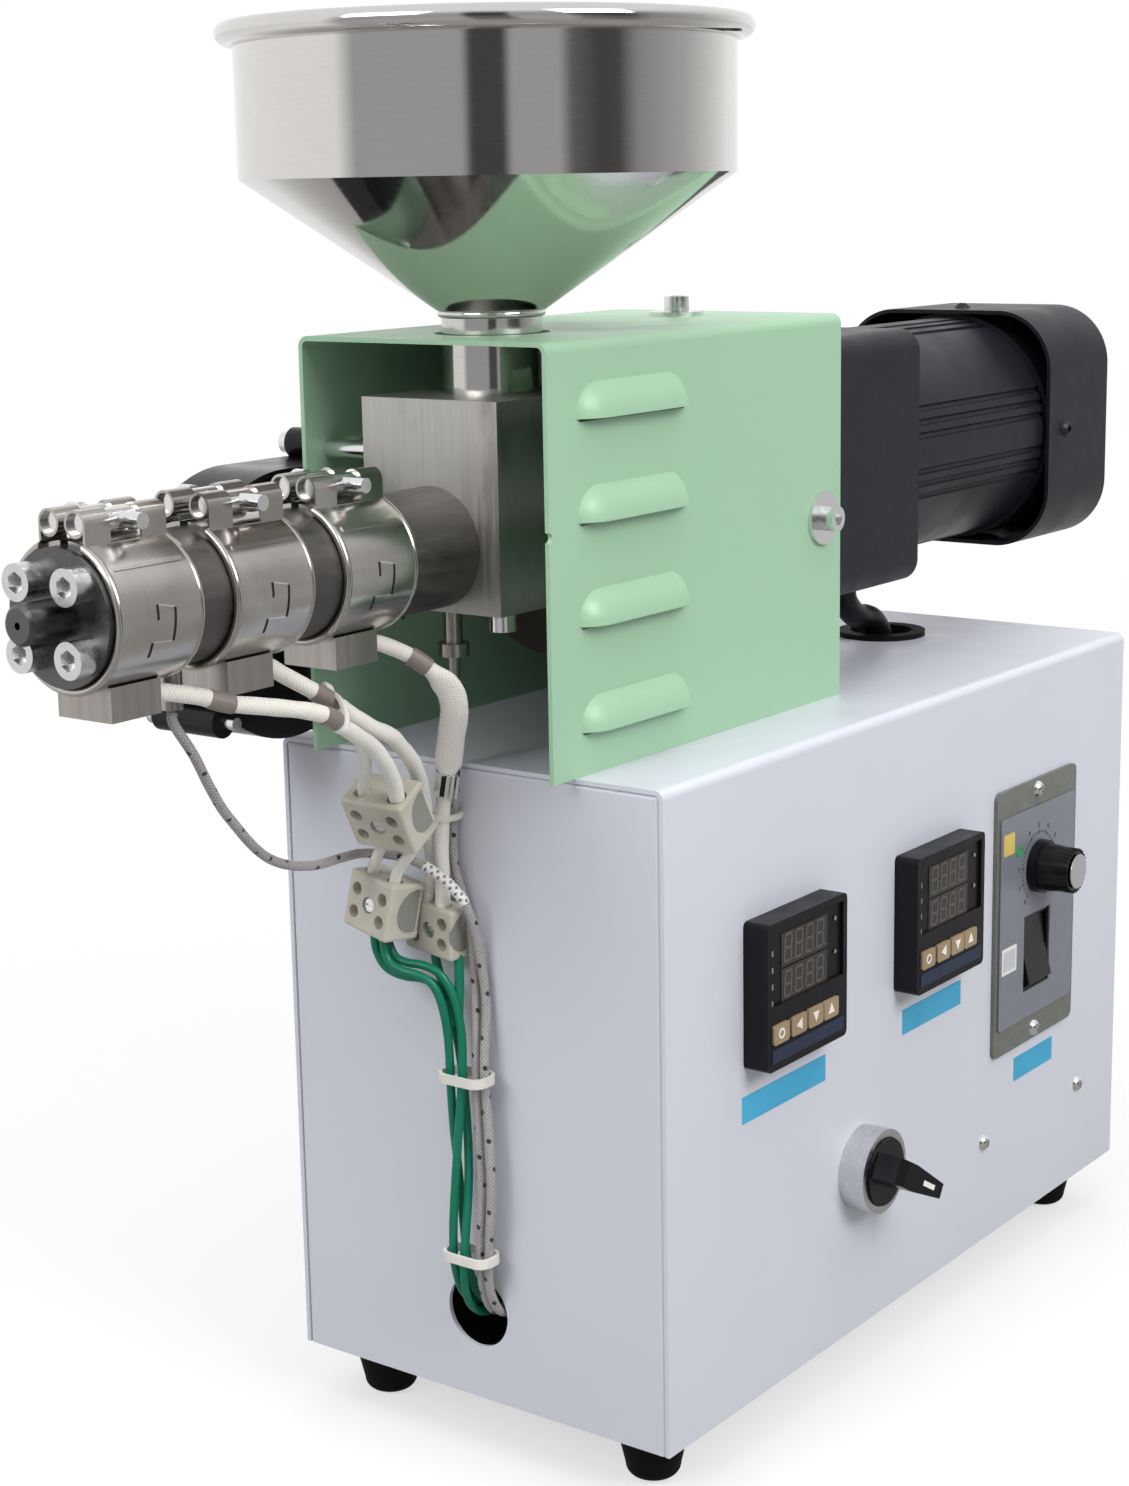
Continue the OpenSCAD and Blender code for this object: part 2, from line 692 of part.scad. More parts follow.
// one side of the strap's rolled end; s is the side, o the trunnion's offset
module strap_end(x, o, s) {
    wall_y = o + loop_radius;
    foot_rise = sqrt(pow(band_outer - strap_thick / 2, 2) - wall_y * wall_y);
    difference() {
        union() {
            bar_x(x, x + band_width, loop_radius, machine_y + s * o, axis_z + trunnion_rise);
            block([x, machine_y + min(s * wall_y, s * (wall_y - strap_thick)), axis_z + foot_rise],
                [x + band_width, machine_y + max(s * wall_y, s * (wall_y - strap_thick)),
                axis_z + trunnion_rise]);
        }
        bar_x(x - cut, x + band_width + cut, trunnion_diameter / 2, machine_y + s * o, axis_z + trunnion_rise);
        block([x + band_width / 2 - window_length / 2, machine_y - band_outer, axis_z + foot_rise + strap_thick],
            [x + band_width / 2 + window_length / 2, machine_y + band_outer,
            axis_z + trunnion_rise + trunnion_diameter]);
    }
}

module band_heater(i) {
    x = band_places[i];
    o = trunnion_offset[i];
    wall_y = o + loop_radius;
    color([0.74, 0.73, 0.71]) placed() {
        difference() {
            union() {
                ring_x(x + strap_thick, x + band_width - strap_thick, barrel_diameter / 2 + fit,
                    barrel_diameter / 2 + mica_thick);
                difference() {
                    union() {
                        ring_x(x, x + band_width, barrel_diameter / 2 + mica_thick, band_outer);
                        for (p = [x, x + band_width]) translate([p, machine_y, axis_z]) rotate([0, 90, 0])
                            rotate_extrude($fn = 64)
                                translate([band_outer - bead_diameter / 2 + strap_thick / 2, 0])
                                    circle(d = bead_diameter, $fn = 32);
                    }
                    block([x - bead_diameter, machine_y - wall_y + strap_thick, axis_z],
                        [x + band_width + bead_diameter, machine_y + wall_y - strap_thick,
                        axis_z + 2 * band_outer]);
                }
            }
            block([x - bead_diameter, machine_y - mica_split, axis_z],
                [x + band_width + bead_diameter, machine_y + mica_split, axis_z + 2 * band_outer]);
            for (s = [-1, 1]) rotate_about_axis(lance_angle)
                translate([x + band_width / 2 + s * band_width * lance_share / 2 - lance_slot[0] / 2,
                    -band_outer - cut, -lance_slot[1] / 2])
                    cube([lance_slot[0], strap_thick + cut, lance_slot[1]]);
            rotate_about_axis(lance_angle)
                translate([x + band_width * (1 - lance_share) / 2, -band_outer - cut, -lance_slot[1] / 2])
                    cube([band_width * lance_share, strap_thick + cut, lance_slot[0]]);
        }
        for (s = [-1, 1]) strap_end(x, o, s);
        rotate_about_axis(seam_angle) translate([x + bead_diameter, -band_outer - strap_thick / 2, 0])
            cube([band_width - 2 * bead_diameter, strap_thick, strap_thick * 2]);
    }
}

module band_heater_front() {
    band_heater(0);
}

module band_heater_middle() {
    band_heater(1);
}

module band_heater_rear() {
    band_heater(2);
}

lead_diameter = 5;
lead_drop = 23.5;
lead_side = 5;

module heater_terminal_boxes() {
    color([0.6, 0.58, 0.56]) placed() for (i = [0:2]) difference() {
        block([box_x(i) - box_length / 2, machine_y - box_width / 2, axis_z - terminal_drop],
            [box_x(i) + box_length / 2, machine_y + box_width / 2, axis_z - barrel_diameter / 2]);
        block([box_x(i) - box_length / 2 + box_sheet, machine_y - box_width / 2 + box_sheet,
            axis_z - terminal_drop + box_sheet],
            [box_x(i) + box_length / 2 - box_sheet, machine_y + box_width / 2 - box_sheet, axis_z]);
        bar_x(box_x(i) - box_length, box_x(i) + box_length, band_outer, machine_y, axis_z);
    }
}

trunnion_length = 26;
bolt_length = 25;
bolt_head = [7, 4];
bolt_overhang = 7;

module heater_clamps() {
    color([0.8, 0.8, 0.8]) placed() for (i = [0:2]) {
        x = band_places[i] + band_width / 2;
        o = trunnion_offset[i];
        for (s = [-1, 1]) difference() {
            bar_x(x - trunnion_length / 2, x + trunnion_length / 2, trunnion_diameter / 2,
                machine_y + s * o, axis_z + trunnion_rise);
            bar_y(machine_y - bolt_length, machine_y + bolt_length, clamp_bolt / 2, x, axis_z + trunnion_rise);
        }
        bar_y(machine_y - o - trunnion_diameter / 2 - bolt_overhang, machine_y + o + trunnion_diameter / 2,
            clamp_bolt / 2, x, axis_z + trunnion_rise);
        translate([x, machine_y + o + trunnion_diameter / 2, axis_z + trunnion_rise]) rotate([-90, 0, 0])
            difference() {
                cylinder(h = bolt_head[1], d = bolt_head[0], $fn = 48);
                translate([0, 0, bolt_head[1] / 2]) cylinder(h = bolt_head[1], d = bolt_head[0] / 2, $fn = 6);
            }
    }
}

// hood with formed louvres

louvre_x = block_x + 10;
louvre_rises = [13.5, 45.5, 76.5, 107];
louvre_radius = (louvre_height * louvre_height + louvre_proud * louvre_proud) / (2 * louvre_proud);
hopper_hole = 36;
notch_rise = 73.7;
notch_radius = 1.5;
cap_place = 126;

// the domed body of a louvre: a barrel with round ends, standing out of the sheet
module louvre_form(r, z) {
    inset = sqrt(pow(louvre_radius, 2) - pow(louvre_radius - louvre_proud, 2));
    translate([louvre_x + inset, hood_y - louvre_proud + louvre_radius, z]) {
        rotate([0, 90, 0]) cylinder(h = louvre_length - 2 * inset, r = r, $fn = 64);
        sphere(r = r, $fn = 64);
        translate([louvre_length - 2 * inset, 0, 0]) sphere(r = r, $fn = 64);
    }
}

module hood() {
    color([0.62, 0.79, 0.64]) placed() difference() {
        union() {
            translate([-hood_lead, hood_y, roof_z])
                arch_sheet(hood_length, hood_width, hood_height, hood_bend, hood_sheet);
            for (rise = louvre_rises) intersection() {
                louvre_form(louvre_radius, roof_z + rise);
                block([louvre_x, hood_y - louvre_proud - cut, roof_z + rise],
                    [louvre_x + louvre_length, hood_y + hood_sheet / 2, roof_z + rise + louvre_height]);
            }
        }
        for (rise = louvre_rises) intersection() {
            louvre_form(louvre_radius - hood_sheet * 0.8, roof_z + rise);
            block([louvre_x, hood_y - louvre_proud - cut, roof_z + rise - cut],
                [louvre_x + louvre_length, hood_y + hood_sheet + cut, roof_z + rise + louvre_height]);
        }
        bar_z(hood_top - hood_sheet - cut, hood_top + cut, hopper_hole / 2, feed_x, machine_y);
        bar_y(hood_y - cut, hood_y + hood_sheet + cut, notch_radius, -hood_lead, roof_z + notch_rise);
        bar_z(hood_top - hood_sheet - cut, hood_top + cut, m5[0] / 2, cap_place, machine_y);
        bar_y(hood_y - cut, hood_y + hood_width + cut, m5[0] / 2,
            plate_x + plate_thick / 2, roof_z + hood_screw_rise);
        bar_y(hood_y + hood_width - hood_sheet - cut, hood_y + hood_width + cut, m5[0] / 2, standoff_x, standoff_z);
        for (p = blower_hood_places)
            bar_y(hood_y + hood_width - hood_sheet - cut, hood_y + hood_width + cut, blower_screw / 2,
                blower_x + p[0], blower_z + p[1]);
    }
}

nut_across = 8;
nut_height = 4;

module washer_and_cap() {
    difference() {
        cylinder(h = washer_thick, d = washer_diameter, $fn = 48);
        translate([0, 0, -cut]) cylinder(h = washer_thick + 2 * cut, d = m5[0], $fn = 48);
    }
    translate([0, 0, washer_thick]) cap_screw(m5, hood_sheet + hood_screw_length);
}

module frame_screws() {
    color([0.78, 0.78, 0.78]) placed() {
        translate([cap_place, machine_y, hood_top]) {
            washer_and_cap();
            translate([0, 0, -hood_sheet - nut_height]) difference() {
                cylinder(h = nut_height, d = nut_across * 2 / sqrt(3), $fn = 6);
                translate([0, 0, -cut]) cylinder(h = nut_height + 2 * cut, d = m5[0], $fn = 48);
            }
        }
        for (s = [-1, 1])
            translate([plate_x + plate_thick / 2, machine_y + s * hood_width / 2, roof_z + hood_screw_rise])
                rotate([-s * 90, 0, 0]) difference() {
                    washer_and_cap();
                    translate([0, 0, -hood_sheet - 2 * hood_screw_length])
                        cylinder(h = hood_screw_length + cut, d = m5[1], $fn = 48);
                }
        for (p = block_screw_places)
            translate([feed_x + p[0], machine_y + p[1], block_z]) rotate([180, 0, 0])
                cap_screw(m5, block_screw_length);
        difference() {
            bar_y(machine_y + block_width / 2, hood_y + hood_width - hood_sheet, standoff_diameter / 2,
                standoff_x, standoff_z);
            bar_y(machine_y, hood_y + hood_width + cut, m5[0] / 2, standoff_x, standoff_z);
        }
        translate([standoff_x, hood_y + hood_width, standoff_z]) rotate([-90, 0, 0])
            cap_screw(m5, hood_y + hood_width - machine_y - block_width / 2 + standoff_depth);
        for (p = blower_case_places)
            translate([blower_x + p[0], blower_y + blower_width, blower_z + p[1]]) rotate([-90, 0, 0])
                cap_screw([blower_screw, blower_screw * 1.7, blower_screw, blower_screw * 0.8],
                    blower_width + hood_sheet + blower_screw);
        for (p = blower_hood_places)
            translate([blower_x + p[0], hood_y + hood_width - hood_sheet, blower_z + p[1]]) rotate([90, 0, 0])
                difference() {
                    cylinder(h = blower_nut[1], d = blower_nut[0], $fn = 6);
                    translate([0, 0, -cut]) cylinder(h = blower_nut[1] + 2 * cut, d = blower_screw, $fn = 48);
                }
    }
}

sensor_sleeve = [6, 11];
sensor_nut = [10, 4];
sensor_spring = [4, 10];

module sensor_fitting(x, z, seat) {
    translate([x, machine_y, z]) {
        translate([0, 0, -sensor_sleeve[1]]) cylinder(h = sensor_sleeve[1] + seat, d = sensor_sleeve[0], $fn = 48);
        translate([0, 0, -sensor_sleeve[1] - sensor_nut[1]]) cylinder(h = sensor_nut[1], d = sensor_nut[0], $fn = 48);
        translate([0, 0, -sensor_sleeve[1] - sensor_nut[1] - sensor_spring[1]])
            cylinder(h = sensor_spring[1], d = sensor_spring[0], $fn = 48);
    }
}

module thermocouple_fittings() {
    color([0.6, 0.55, 0.48]) placed() {
        sensor_fitting(feed_sensor_x, block_z, feed_sensor_depth);
        translate([barrel_sensor_x, machine_y, axis_z - barrel_diameter / 2 - barrel_sensor_sleeve])
            cylinder(h = barrel_sensor_sleeve + sensor_depth, d = feed_sensor_hole, $fn = 48);
    }
}

barrel_sensor_sleeve = 12;

// blower on the hood's far side

blower_x = -20;
blower_z = roof_z + 48;
blower_y = hood_y + hood_width;
blower_screw = 4;
blower_nut = [8, 3.2];
blower_inlet = 25;
blower_duct = [30, 70];
blower_lug = 5;
blower_case_places = [[-31, -32], [22, -40], [34, 46]];
blower_hood_places = [[22, -40], [34, 46]];
impeller_radius_share = 0.78;
blower_shaft = 6;
blade_count = 18;

module blower_case() {
    color([0.08, 0.08, 0.09]) placed() difference() {
        union() {
            bar_y(blower_y, blower_y + blower_width, blower_radius, blower_x, blower_z);
            block([blower_x, blower_y, blower_z + blower_radius - blower_duct[0]],
                [blower_x + blower_duct[1], blower_y + blower_width, blower_z + blower_radius]);
            for (p = blower_case_places)
                bar_y(blower_y, blower_y + blower_width, blower_lug, blower_x + p[0], blower_z + p[1]);
        }
        bar_y(blower_y + blower_wall, blower_y + blower_width - blower_wall,
            blower_radius - blower_wall, blower_x, blower_z);
        block([blower_x + blower_radius * 0.5, blower_y + blower_wall,
            blower_z + blower_radius - blower_duct[0] + blower_wall],
            [blower_x + blower_duct[1] + cut, blower_y + blower_width - blower_wall,
            blower_z + blower_radius - blower_wall]);
        bar_y(blower_y + blower_width - 2 * blower_wall, blower_y + blower_width + cut,
            blower_inlet, blower_x, blower_z);
        bar_y(blower_y - cut, blower_y + 2 * blower_wall, blower_shaft / 2 + fit, blower_x, blower_z);
        for (p = blower_case_places)
            bar_y(blower_y - cut, blower_y + blower_width + cut, blower_screw / 2,
                blower_x + p[0], blower_z + p[1]);
    }
}

module blower_impeller() {
    r_out = blower_radius * impeller_radius_share;
    r_hub = r_out / 3;
    low = blower_y + blower_wall + gap * 2;
    high = blower_y + blower_width - blower_wall - gap * 2;
    color([0.12, 0.12, 0.13]) placed() {
        bar_y(low, low + blower_wall, r_out, blower_x, blower_z);
        bar_y(low, high, r_hub, blower_x, blower_z);
        bar_y(blower_y, low + blower_wall, blower_shaft / 2, blower_x, blower_z);
        for (i = [0:blade_count - 1]) translate([blower_x, 0, blower_z]) rotate([0, i * 360 / blade_count, 0])
            translate([r_out * 0.72, low, -blower_wall / 4])
                cube([r_out * 0.26, high - low, blower_wall / 2]);
    }
}

// gear motor

stator_bore = 52;
rotor_diameter = 50;
motor_shaft = 12;
motor_front_wall = 11;
motor_shaft_entry = 10;
groove_share = [0.15, 0.26, 0.37];
groove_radius = 1.2;
cover_screw_x = motor_x + motor_length + 11;
cover_screw_length = 8;
corner_radius = 23;
vent_radius_share = [0.35, 0.75];
vent_count = 20;
vent_width = 3;
gearhead_round = 8;
output_depth = 25;

module gearhead() {
    color([0.12, 0.13, 0.2]) placed() difference() {
        rounded_x(gearhead_x, motor_x, gearhead_side, gearhead_side, gearhead_round, machine_y, motor_z);
        bar_x(gearhead_x - cut, gearhead_x + output_depth, shaft_diameter / 2 + fit, machine_y, axis_z);
        bar_x(motor_x - motor_shaft_entry - gap, motor_x + cut, motor_shaft / 2 + fit, machine_y, motor_z);
        for (i = [-1, 1], j = [-1, 1])
            bar_x(gearhead_x - cut, motor_x + cut, m6[0] / 2,
                machine_y + i * gearhead_pitch, motor_z + j * gearhead_pitch);
    }
}

module motor_body() {
    r = motor_diameter / 2;
    bell_r = cover_side / 2 - cover_wall;
    end = motor_x + motor_length;
    color([0.13, 0.14, 0.21]) placed() {
        difference() {
            bar_x(motor_x, end, r, machine_y, motor_z);
            bar_x(motor_x + motor_front_wall, end + cut, stator_bore / 2, machine_y, motor_z);
            bar_x(motor_x - cut, end, motor_shaft / 2 + fit, machine_y, motor_z);
            for (q = [0:90:270], g = groove_share)
                translate([0, machine_y, motor_z]) rotate([q + asin(g), 0, 0])
                    bar_x(motor_x - cut, end + cut, groove_radius, -r, 0);
            for (q = [0:90:270], g = groove_share)
                translate([0, machine_y, motor_z]) rotate([q - asin(g), 0, 0])
                    bar_x(motor_x - cut, end + cut, groove_radius, -r, 0);
        }
        difference() {
            bar_x(end, end + end_bell_length, bell_r, machine_y, motor_z);
            bar_x(end - cut, end + end_bell_length + cut, motor_shaft / 2 + fit, machine_y, motor_z);
            for (a = [0:90:270]) translate([cover_screw_x, machine_y, motor_z]) rotate([a, 0, 0])
                bar_y(-bell_r - cut, -cover_side / 2 + cover_screw_length, panel_screw_hole / 2, 0, 0);
        }
    }
}

module motor_fan_cover() {
    color([0.14, 0.15, 0.21]) placed() difference() {
        rounded_x(cover_x, machine_end, cover_side, cover_side, corner_radius, machine_y, motor_z);
        rounded_x(cover_x - cut, machine_end - cover_wall, cover_side - 2 * cover_wall,
            cover_side - 2 * cover_wall, corner_radius - cover_wall, machine_y, motor_z);
        for (a = [0:90:270]) translate([cover_screw_x, machine_y, motor_z]) rotate([a, 0, 0])
            bar_y(-cover_side / 2 - cut, -cover_side / 2 + cover_wall + cut, panel_screw_hole / 2, 0, 0);
        for (i = [0:vent_count - 1]) translate([machine_end - cover_wall - cut, machine_y, motor_z])
            rotate([i * 360 / vent_count, 0, 0])
                translate([0, -vent_width / 2, cover_side / 2 * vent_radius_share[0]])
                    cube([cover_wall + 2 * cut, vent_width,
                        cover_side / 2 * (vent_radius_share[1] - vent_radius_share[0])]);
    }
}

fan_gap = 3;
fan_width = 16;
rotor_end = motor_x + motor_length + end_bell_length + fan_gap + fan_width;
fan_radius = cover_side / 2 - 8;
fan_hub = 11;
fan_blades = 9;
fan_blade = 2;

module motor_rotor() {
    color([0.7, 0.7, 0.7]) placed() {
        bar_x(motor_x - motor_shaft_entry, rotor_end - fan_width, motor_shaft / 2, machine_y, motor_z);
        bar_x(motor_x + motor_front_wall + 4 * gap, motor_x + motor_length - 4 * gap,
            rotor_diameter / 2, machine_y, motor_z);
        bar_x(rotor_end - fan_width, rotor_end, motor_shaft / 2, machine_y, motor_z);
    }
}

module rotor_fan() {
    color([0.2, 0.2, 0.22]) placed() difference() {
        union() {
            bar_x(rotor_end - fan_width, rotor_end, fan_hub, machine_y, motor_z);
            bar_x(rotor_end - fan_width, rotor_end - fan_width + fan_blade, fan_radius, machine_y, motor_z);
            for (i = [0:fan_blades - 1]) translate([rotor_end - fan_width, machine_y, motor_z])
                rotate([i * 360 / fan_blades, 0, 0]) translate([fan_blade / 2, -fan_blade / 2, 0])
                    cube([fan_width - fan_blade, fan_blade, fan_radius - fan_blade / 2]);
        }
        bar_x(rotor_end - fan_width - cut, rotor_end + cut, motor_shaft / 2, machine_y, motor_z);
    }
}

coupling_gap = 1;
coupling_lap = 15;
coupling_mid = plate_x - 6;
screw_tip = barrel_front + 2;
flight_end = block_x + block_length - 21;
root_radius = 5.6;
flight_share = 0.14;
journal_x = coupling_mid - coupling_lap - 2;

module shaft_coupling() {
    color([0.35, 0.35, 0.37]) placed() difference() {
        bar_x(coupling_mid - coupling_lap, coupling_mid + coupling_lap, coupling_diameter / 2, machine_y, axis_z);
        bar_x(coupling_mid - coupling_lap - cut, coupling_mid + coupling_lap + cut, shaft_diameter / 2,
            machine_y, axis_z);
    }
}

module output_shaft() {
    color([0.75, 0.75, 0.76]) placed()
        bar_x(coupling_mid + coupling_gap / 2, gearhead_x + output_depth - gap, shaft_diameter / 2,
            machine_y, axis_z);
}

// the flight is a twisted sector on a round root; the rear shank runs in the bearings
module extruder_screw() {
    shank = barrel_bore / 2 - screw_gap;
    r = shank - gap;
    turns = (flight_end - screw_tip) / screw_pitch;
    half = 180 * flight_share;
    color([0.62, 0.62, 0.63]) placed() {
        translate([screw_tip, machine_y, axis_z]) rotate([0, 90, 0]) {
            linear_extrude(flight_end - screw_tip, twist = -360 * turns, slices = ceil(turns * 12)) union() {
                circle(r = root_radius, $fn = 12);
                polygon([[0, 0], [r * cos(half), -r * sin(half)], [r, 0], [r * cos(half), r * sin(half)]]);
            }
        }
        bar_x(flight_end, housing_x + bearing_lip + gap, shank, machine_y, axis_z);
        bar_x(housing_x + bearing_lip + gap, journal_x, bearing_shaft / 2, machine_y, axis_z);
        bar_x(journal_x, coupling_mid - coupling_gap / 2, shaft_diameter / 2, machine_y, axis_z);
    }
}

// hopper: one revolved sheet with a rolled rim

module hopper() {
    neck_r = neck_diameter / 2;
    bowl_r = bowl_diameter / 2;
    foot_z = block_top - neck_depth + fit * 2;
    weld_z = block_top + weld_rise;
    cone_z = rim_top - bowl_height;
    t = hopper_sheet;
    color([0.8, 0.8, 0.8]) placed() translate([feed_x, machine_y, 0]) rotate_extrude($fn = 96) union() {
        polygon([
            [neck_r - t, foot_z], [neck_r, foot_z], [neck_r, weld_z], [bowl_r, cone_z],
            [bowl_r, rim_top - rim_diameter / 2], [bowl_r - t, rim_top - rim_diameter / 2],
            [bowl_r - t, cone_z + t / 2], [neck_r - t, weld_z + t / 2]]);
        translate([neck_r, weld_z]) circle(r = t, $fn = 32);
        translate([bowl_r + rim_diameter / 2 - t / 2, rim_top - rim_diameter / 2])
            circle(d = rim_diameter + t, $fn = 32);
    }
}

// control panel

window_share = [0.9, 0.56];
window_depth = 1;
button_places = [-16.7, -6.1, 3.9, 13.4];
button_drop = 12.2;
button_width = 9;
button_height = 6.4;
button_proud = 0.6;
button_depth = 3;
face_round = 2;

module temp_controller(i) {
    x = controller_x[i];
    z = controller_z;
    s = controller_side;
    color([0.13, 0.13, 0.15]) placed() difference() {
        union() {
            rounded_y(-controller_proud, 0, s, s, face_round, x, z);
            block([x - controller_cutout / 2, 0, z - controller_cutout / 2],
                [x + controller_cutout / 2, controller_depth, z + controller_cutout / 2]);
        }
        block([x - s * window_share[0] / 2, -controller_proud - cut, z + s / 2 - s * window_share[1]],
            [x + s * window_share[0] / 2, -controller_proud + window_depth, z + s * window_share[0] / 2]);
        for (b = button_places)
            block([x + b - button_width / 2 - gap, -controller_proud - cut, z - button_drop - button_height / 2 - gap],
                [x + b + button_width / 2 + gap, -controller_proud + button_depth + button_stroke + gap,
                z - button_drop + button_height / 2 + gap]);
    }
}

module temp_controller_1() {
    temp_controller(0);
}

module temp_controller_2() {
    temp_controller(1);
}

module controller_button(i, b) {
    x = controller_x[i] + button_places[b];
    z = controller_z - button_drop;
    color([0.65, 0.6, 0.52]) placed()
        rounded_y(-controller_proud - button_proud, -controller_proud + button_depth, button_width,
            button_height, face_round / 2, x, z);
}

module set_button_1() {
    controller_button(0, 0);
}

module left_button_1() {
    controller_button(0, 1);
}

module down_button_1() {
    controller_button(0, 2);
}

module up_button_1() {
    controller_button(0, 3);
}

module set_button_2() {
    controller_button(1, 0);
}

module left_button_2() {
    controller_button(1, 1);
}

module down_button_2() {
    controller_button(1, 2);
}

module up_button_2() {
    controller_button(1, 3);
}

speed_plate = 1.5;
label_thick = 0.7;
label_share = [0.93, 0.8];
speed_body_depth = 48;
speed_round = 3;

module speed_controller() {
    half_w = speed_width * speed_cutout_share[0] / 2;
    half_h = speed_height * speed_cutout_share[1] / 2;
    color([0.2, 0.2, 0.22]) placed() difference() {
        union() {
            rounded_y(-speed_plate, 0, speed_width, speed_height, speed_round, speed_x, speed_z);
            rounded_y(-speed_plate - label_thick, -speed_plate, speed_width * label_share[0],
                speed_height * label_share[1], speed_round / 2, speed_x, speed_z);
            block([speed_x - half_w, 0, speed_z - half_h], [speed_x + half_w, speed_body_depth, speed_z + half_h]);
        }
        block([speed_x - switch_width / 2, -speed_plate - label_thick - cut, switch_z - switch_height / 2],
            [speed_x + switch_width / 2, switch_depth, switch_z + switch_height / 2]);
        bar_y(-speed_plate - label_thick - cut, knob_shaft * 2 + gap, knob_shaft / 2 + fit, speed_x, knob_z);
        for (s = [-1, 1])
            bar_y(-speed_plate - cut, cut, panel_screw_hole / 2, speed_x, speed_z + s * speed_screw_pitch / 2);
    }
}

switch_depth = 17;
switch_wall = 1.2;
rocker_gap = 0.4;
rocker_pivot = 4;
rocker_tilt = -10;
rocker_thick = 4;
rocker_pin = 3;

module switch_housing() {
    w = switch_width / 2;
    h = switch_height / 2;
    color([0.07, 0.07, 0.07]) placed() translate([speed_x, 0, switch_z]) difference() {
        block([-w, -speed_plate, -h], [w, switch_depth, h]);
        block([-w + switch_wall, -speed_plate - cut, -h + switch_wall],
            [w - switch_wall, switch_depth - switch_wall, h - switch_wall]);
        bar_x(-w + switch_wall / 4, w - switch_wall / 4, rocker_pin / 2 + fit, rocker_pivot / 2, 0);
    }
}

// the rocker: two flat wings over a pivot, its lower half standing out at rest
module run_switch() {
    w = switch_width / 2 - switch_wall - rocker_gap;
    h = switch_height / 2 - switch_wall - 2 * rocker_gap;
    pin = switch_width / 2 - switch_wall / 2;
    color([0.75, 0.75, 0.73]) placed() translate([speed_x, rocker_pivot / 2, switch_z]) {
        rotate([rocker_tilt, 0, 0]) translate([-w, 0, 0]) rotate([90, 0, 90]) linear_extrude(2 * w)
            polygon([
                [-rocker_pivot, h], [-rocker_pivot + 1.2 * rocker_gap * 2, 0], [-rocker_pivot, -h],
                [-rocker_pivot + rocker_thick, -h], [rocker_pivot + rocker_thick, -h / 3],
                [rocker_pivot + rocker_thick, h / 3], [-rocker_pivot + rocker_thick, h]]);
        bar_x(-pin, pin, rocker_pin / 2, 0, 0);
    }
}

knob_skirt = [20, 3];
knob_taper = 1;
knob_cap = [9, 0.6];

module speed_knob() {
    front = -knob_reach;
    back = -speed_plate - label_thick - gap;
    color([0.1, 0.1, 0.1]) placed() translate([speed_x, 0, knob_z]) rotate([90, 0, 0]) {
        translate([0, 0, -back]) cylinder(h = knob_skirt[1], d = knob_skirt[0], $fn = 64);
        translate([0, 0, -back + knob_skirt[1]])
            cylinder(h = -front + back - knob_skirt[1] - knob_cap[1], r1 = knob_diameter / 2,
                r2 = knob_diameter / 2 - knob_taper, $fn = 64);
        translate([0, 0, -front - knob_cap[1]]) cylinder(h = knob_cap[1], d = knob_cap[0], $fn = 64);
        translate([0, 0, -knob_shaft * 2]) cylinder(h = knob_shaft * 2 - back, d = knob_shaft, $fn = 48);
    }
}

bezel_height = 9.5;
bezel_wall = 2.6;
selector_disc = 10.5;
selector_nut = [27, 4];
selector_block = [30, 40, 30];
selector_tube = 12;

module selector_bezel() {
    r = selector_diameter / 2;
    color([0.72, 0.72, 0.73]) placed() translate([selector_x, 0, selector_z]) rotate([90, 0, 0]) {
        difference() {
            union() {
                cylinder(h = bezel_height, r = r, $fn = 64);
                translate([0, 0, -selector_tube]) cylinder(h = selector_tube, d = selector_barrel, $fn = 64);
            }
            translate([0, 0, cut * 2]) cylinder(h = bezel_height, r = r - bezel_wall, $fn = 64);
        }
        translate([0, 0, -cabinet_sheet - selector_nut[1]]) difference() {
            cylinder(h = selector_nut[1], d = selector_nut[0], $fn = 6);
            translate([0, 0, -cut]) cylinder(h = selector_nut[1] + 2 * cut, d = selector_barrel, $fn = 64);
        }
        translate([0, 0, -selector_tube - selector_block[1] / 2]) cube([selector_block[0],
            selector_block[2], selector_block[1]], center = true);
    }
}

lever_angle = -32;
lever_share = [[-0.42, 0], [-0.38, 0.62], [-0.2, 0.74], [0.66, 1], [0.7, 0.84], [0.5, 0]];
lever_width = 9;
lever_tip_width = 5;

// black disc with a beak shaped lever that rises towards its tip
module selector_knob() {
    r = selector_diameter / 2 - bezel_wall - gap;
    rise = selector_reach - selector_disc;
    span = selector_reach;
    color([0.06, 0.06, 0.06]) placed() translate([selector_x, 0, selector_z]) rotate([0, -lever_angle, 0]) {
        bar_y(-selector_disc, -cut * 2 - gap, r, 0, 0);
        intersection() {
            translate([0, -selector_disc, 0]) translate([0, 0, lever_width / 2]) rotate([180, 0, 0])
                linear_extrude(lever_width)
                    polygon([for (p = lever_share) [p[0] * span, p[1] * rise - cut * (p[1] == 0 ? 1 : 0)]]);
            rotate([90, 0, 0]) linear_extrude(2 * selector_reach)
                polygon([[-r, -lever_width / 2], [0, -lever_width / 2], [span * 0.7, -lever_tip_width / 2],
                    [span * 0.7, lever_tip_width / 2], [0, lever_width / 2], [-r, lever_width / 2]]);
        }
    }
}

// leads: each is one tube swept along its own route, eight sides

sides = 8;
sleeve_r = 2.5;
sensor_r = 1.5;
bundle_r = 4;
motor_lead_r = 5;

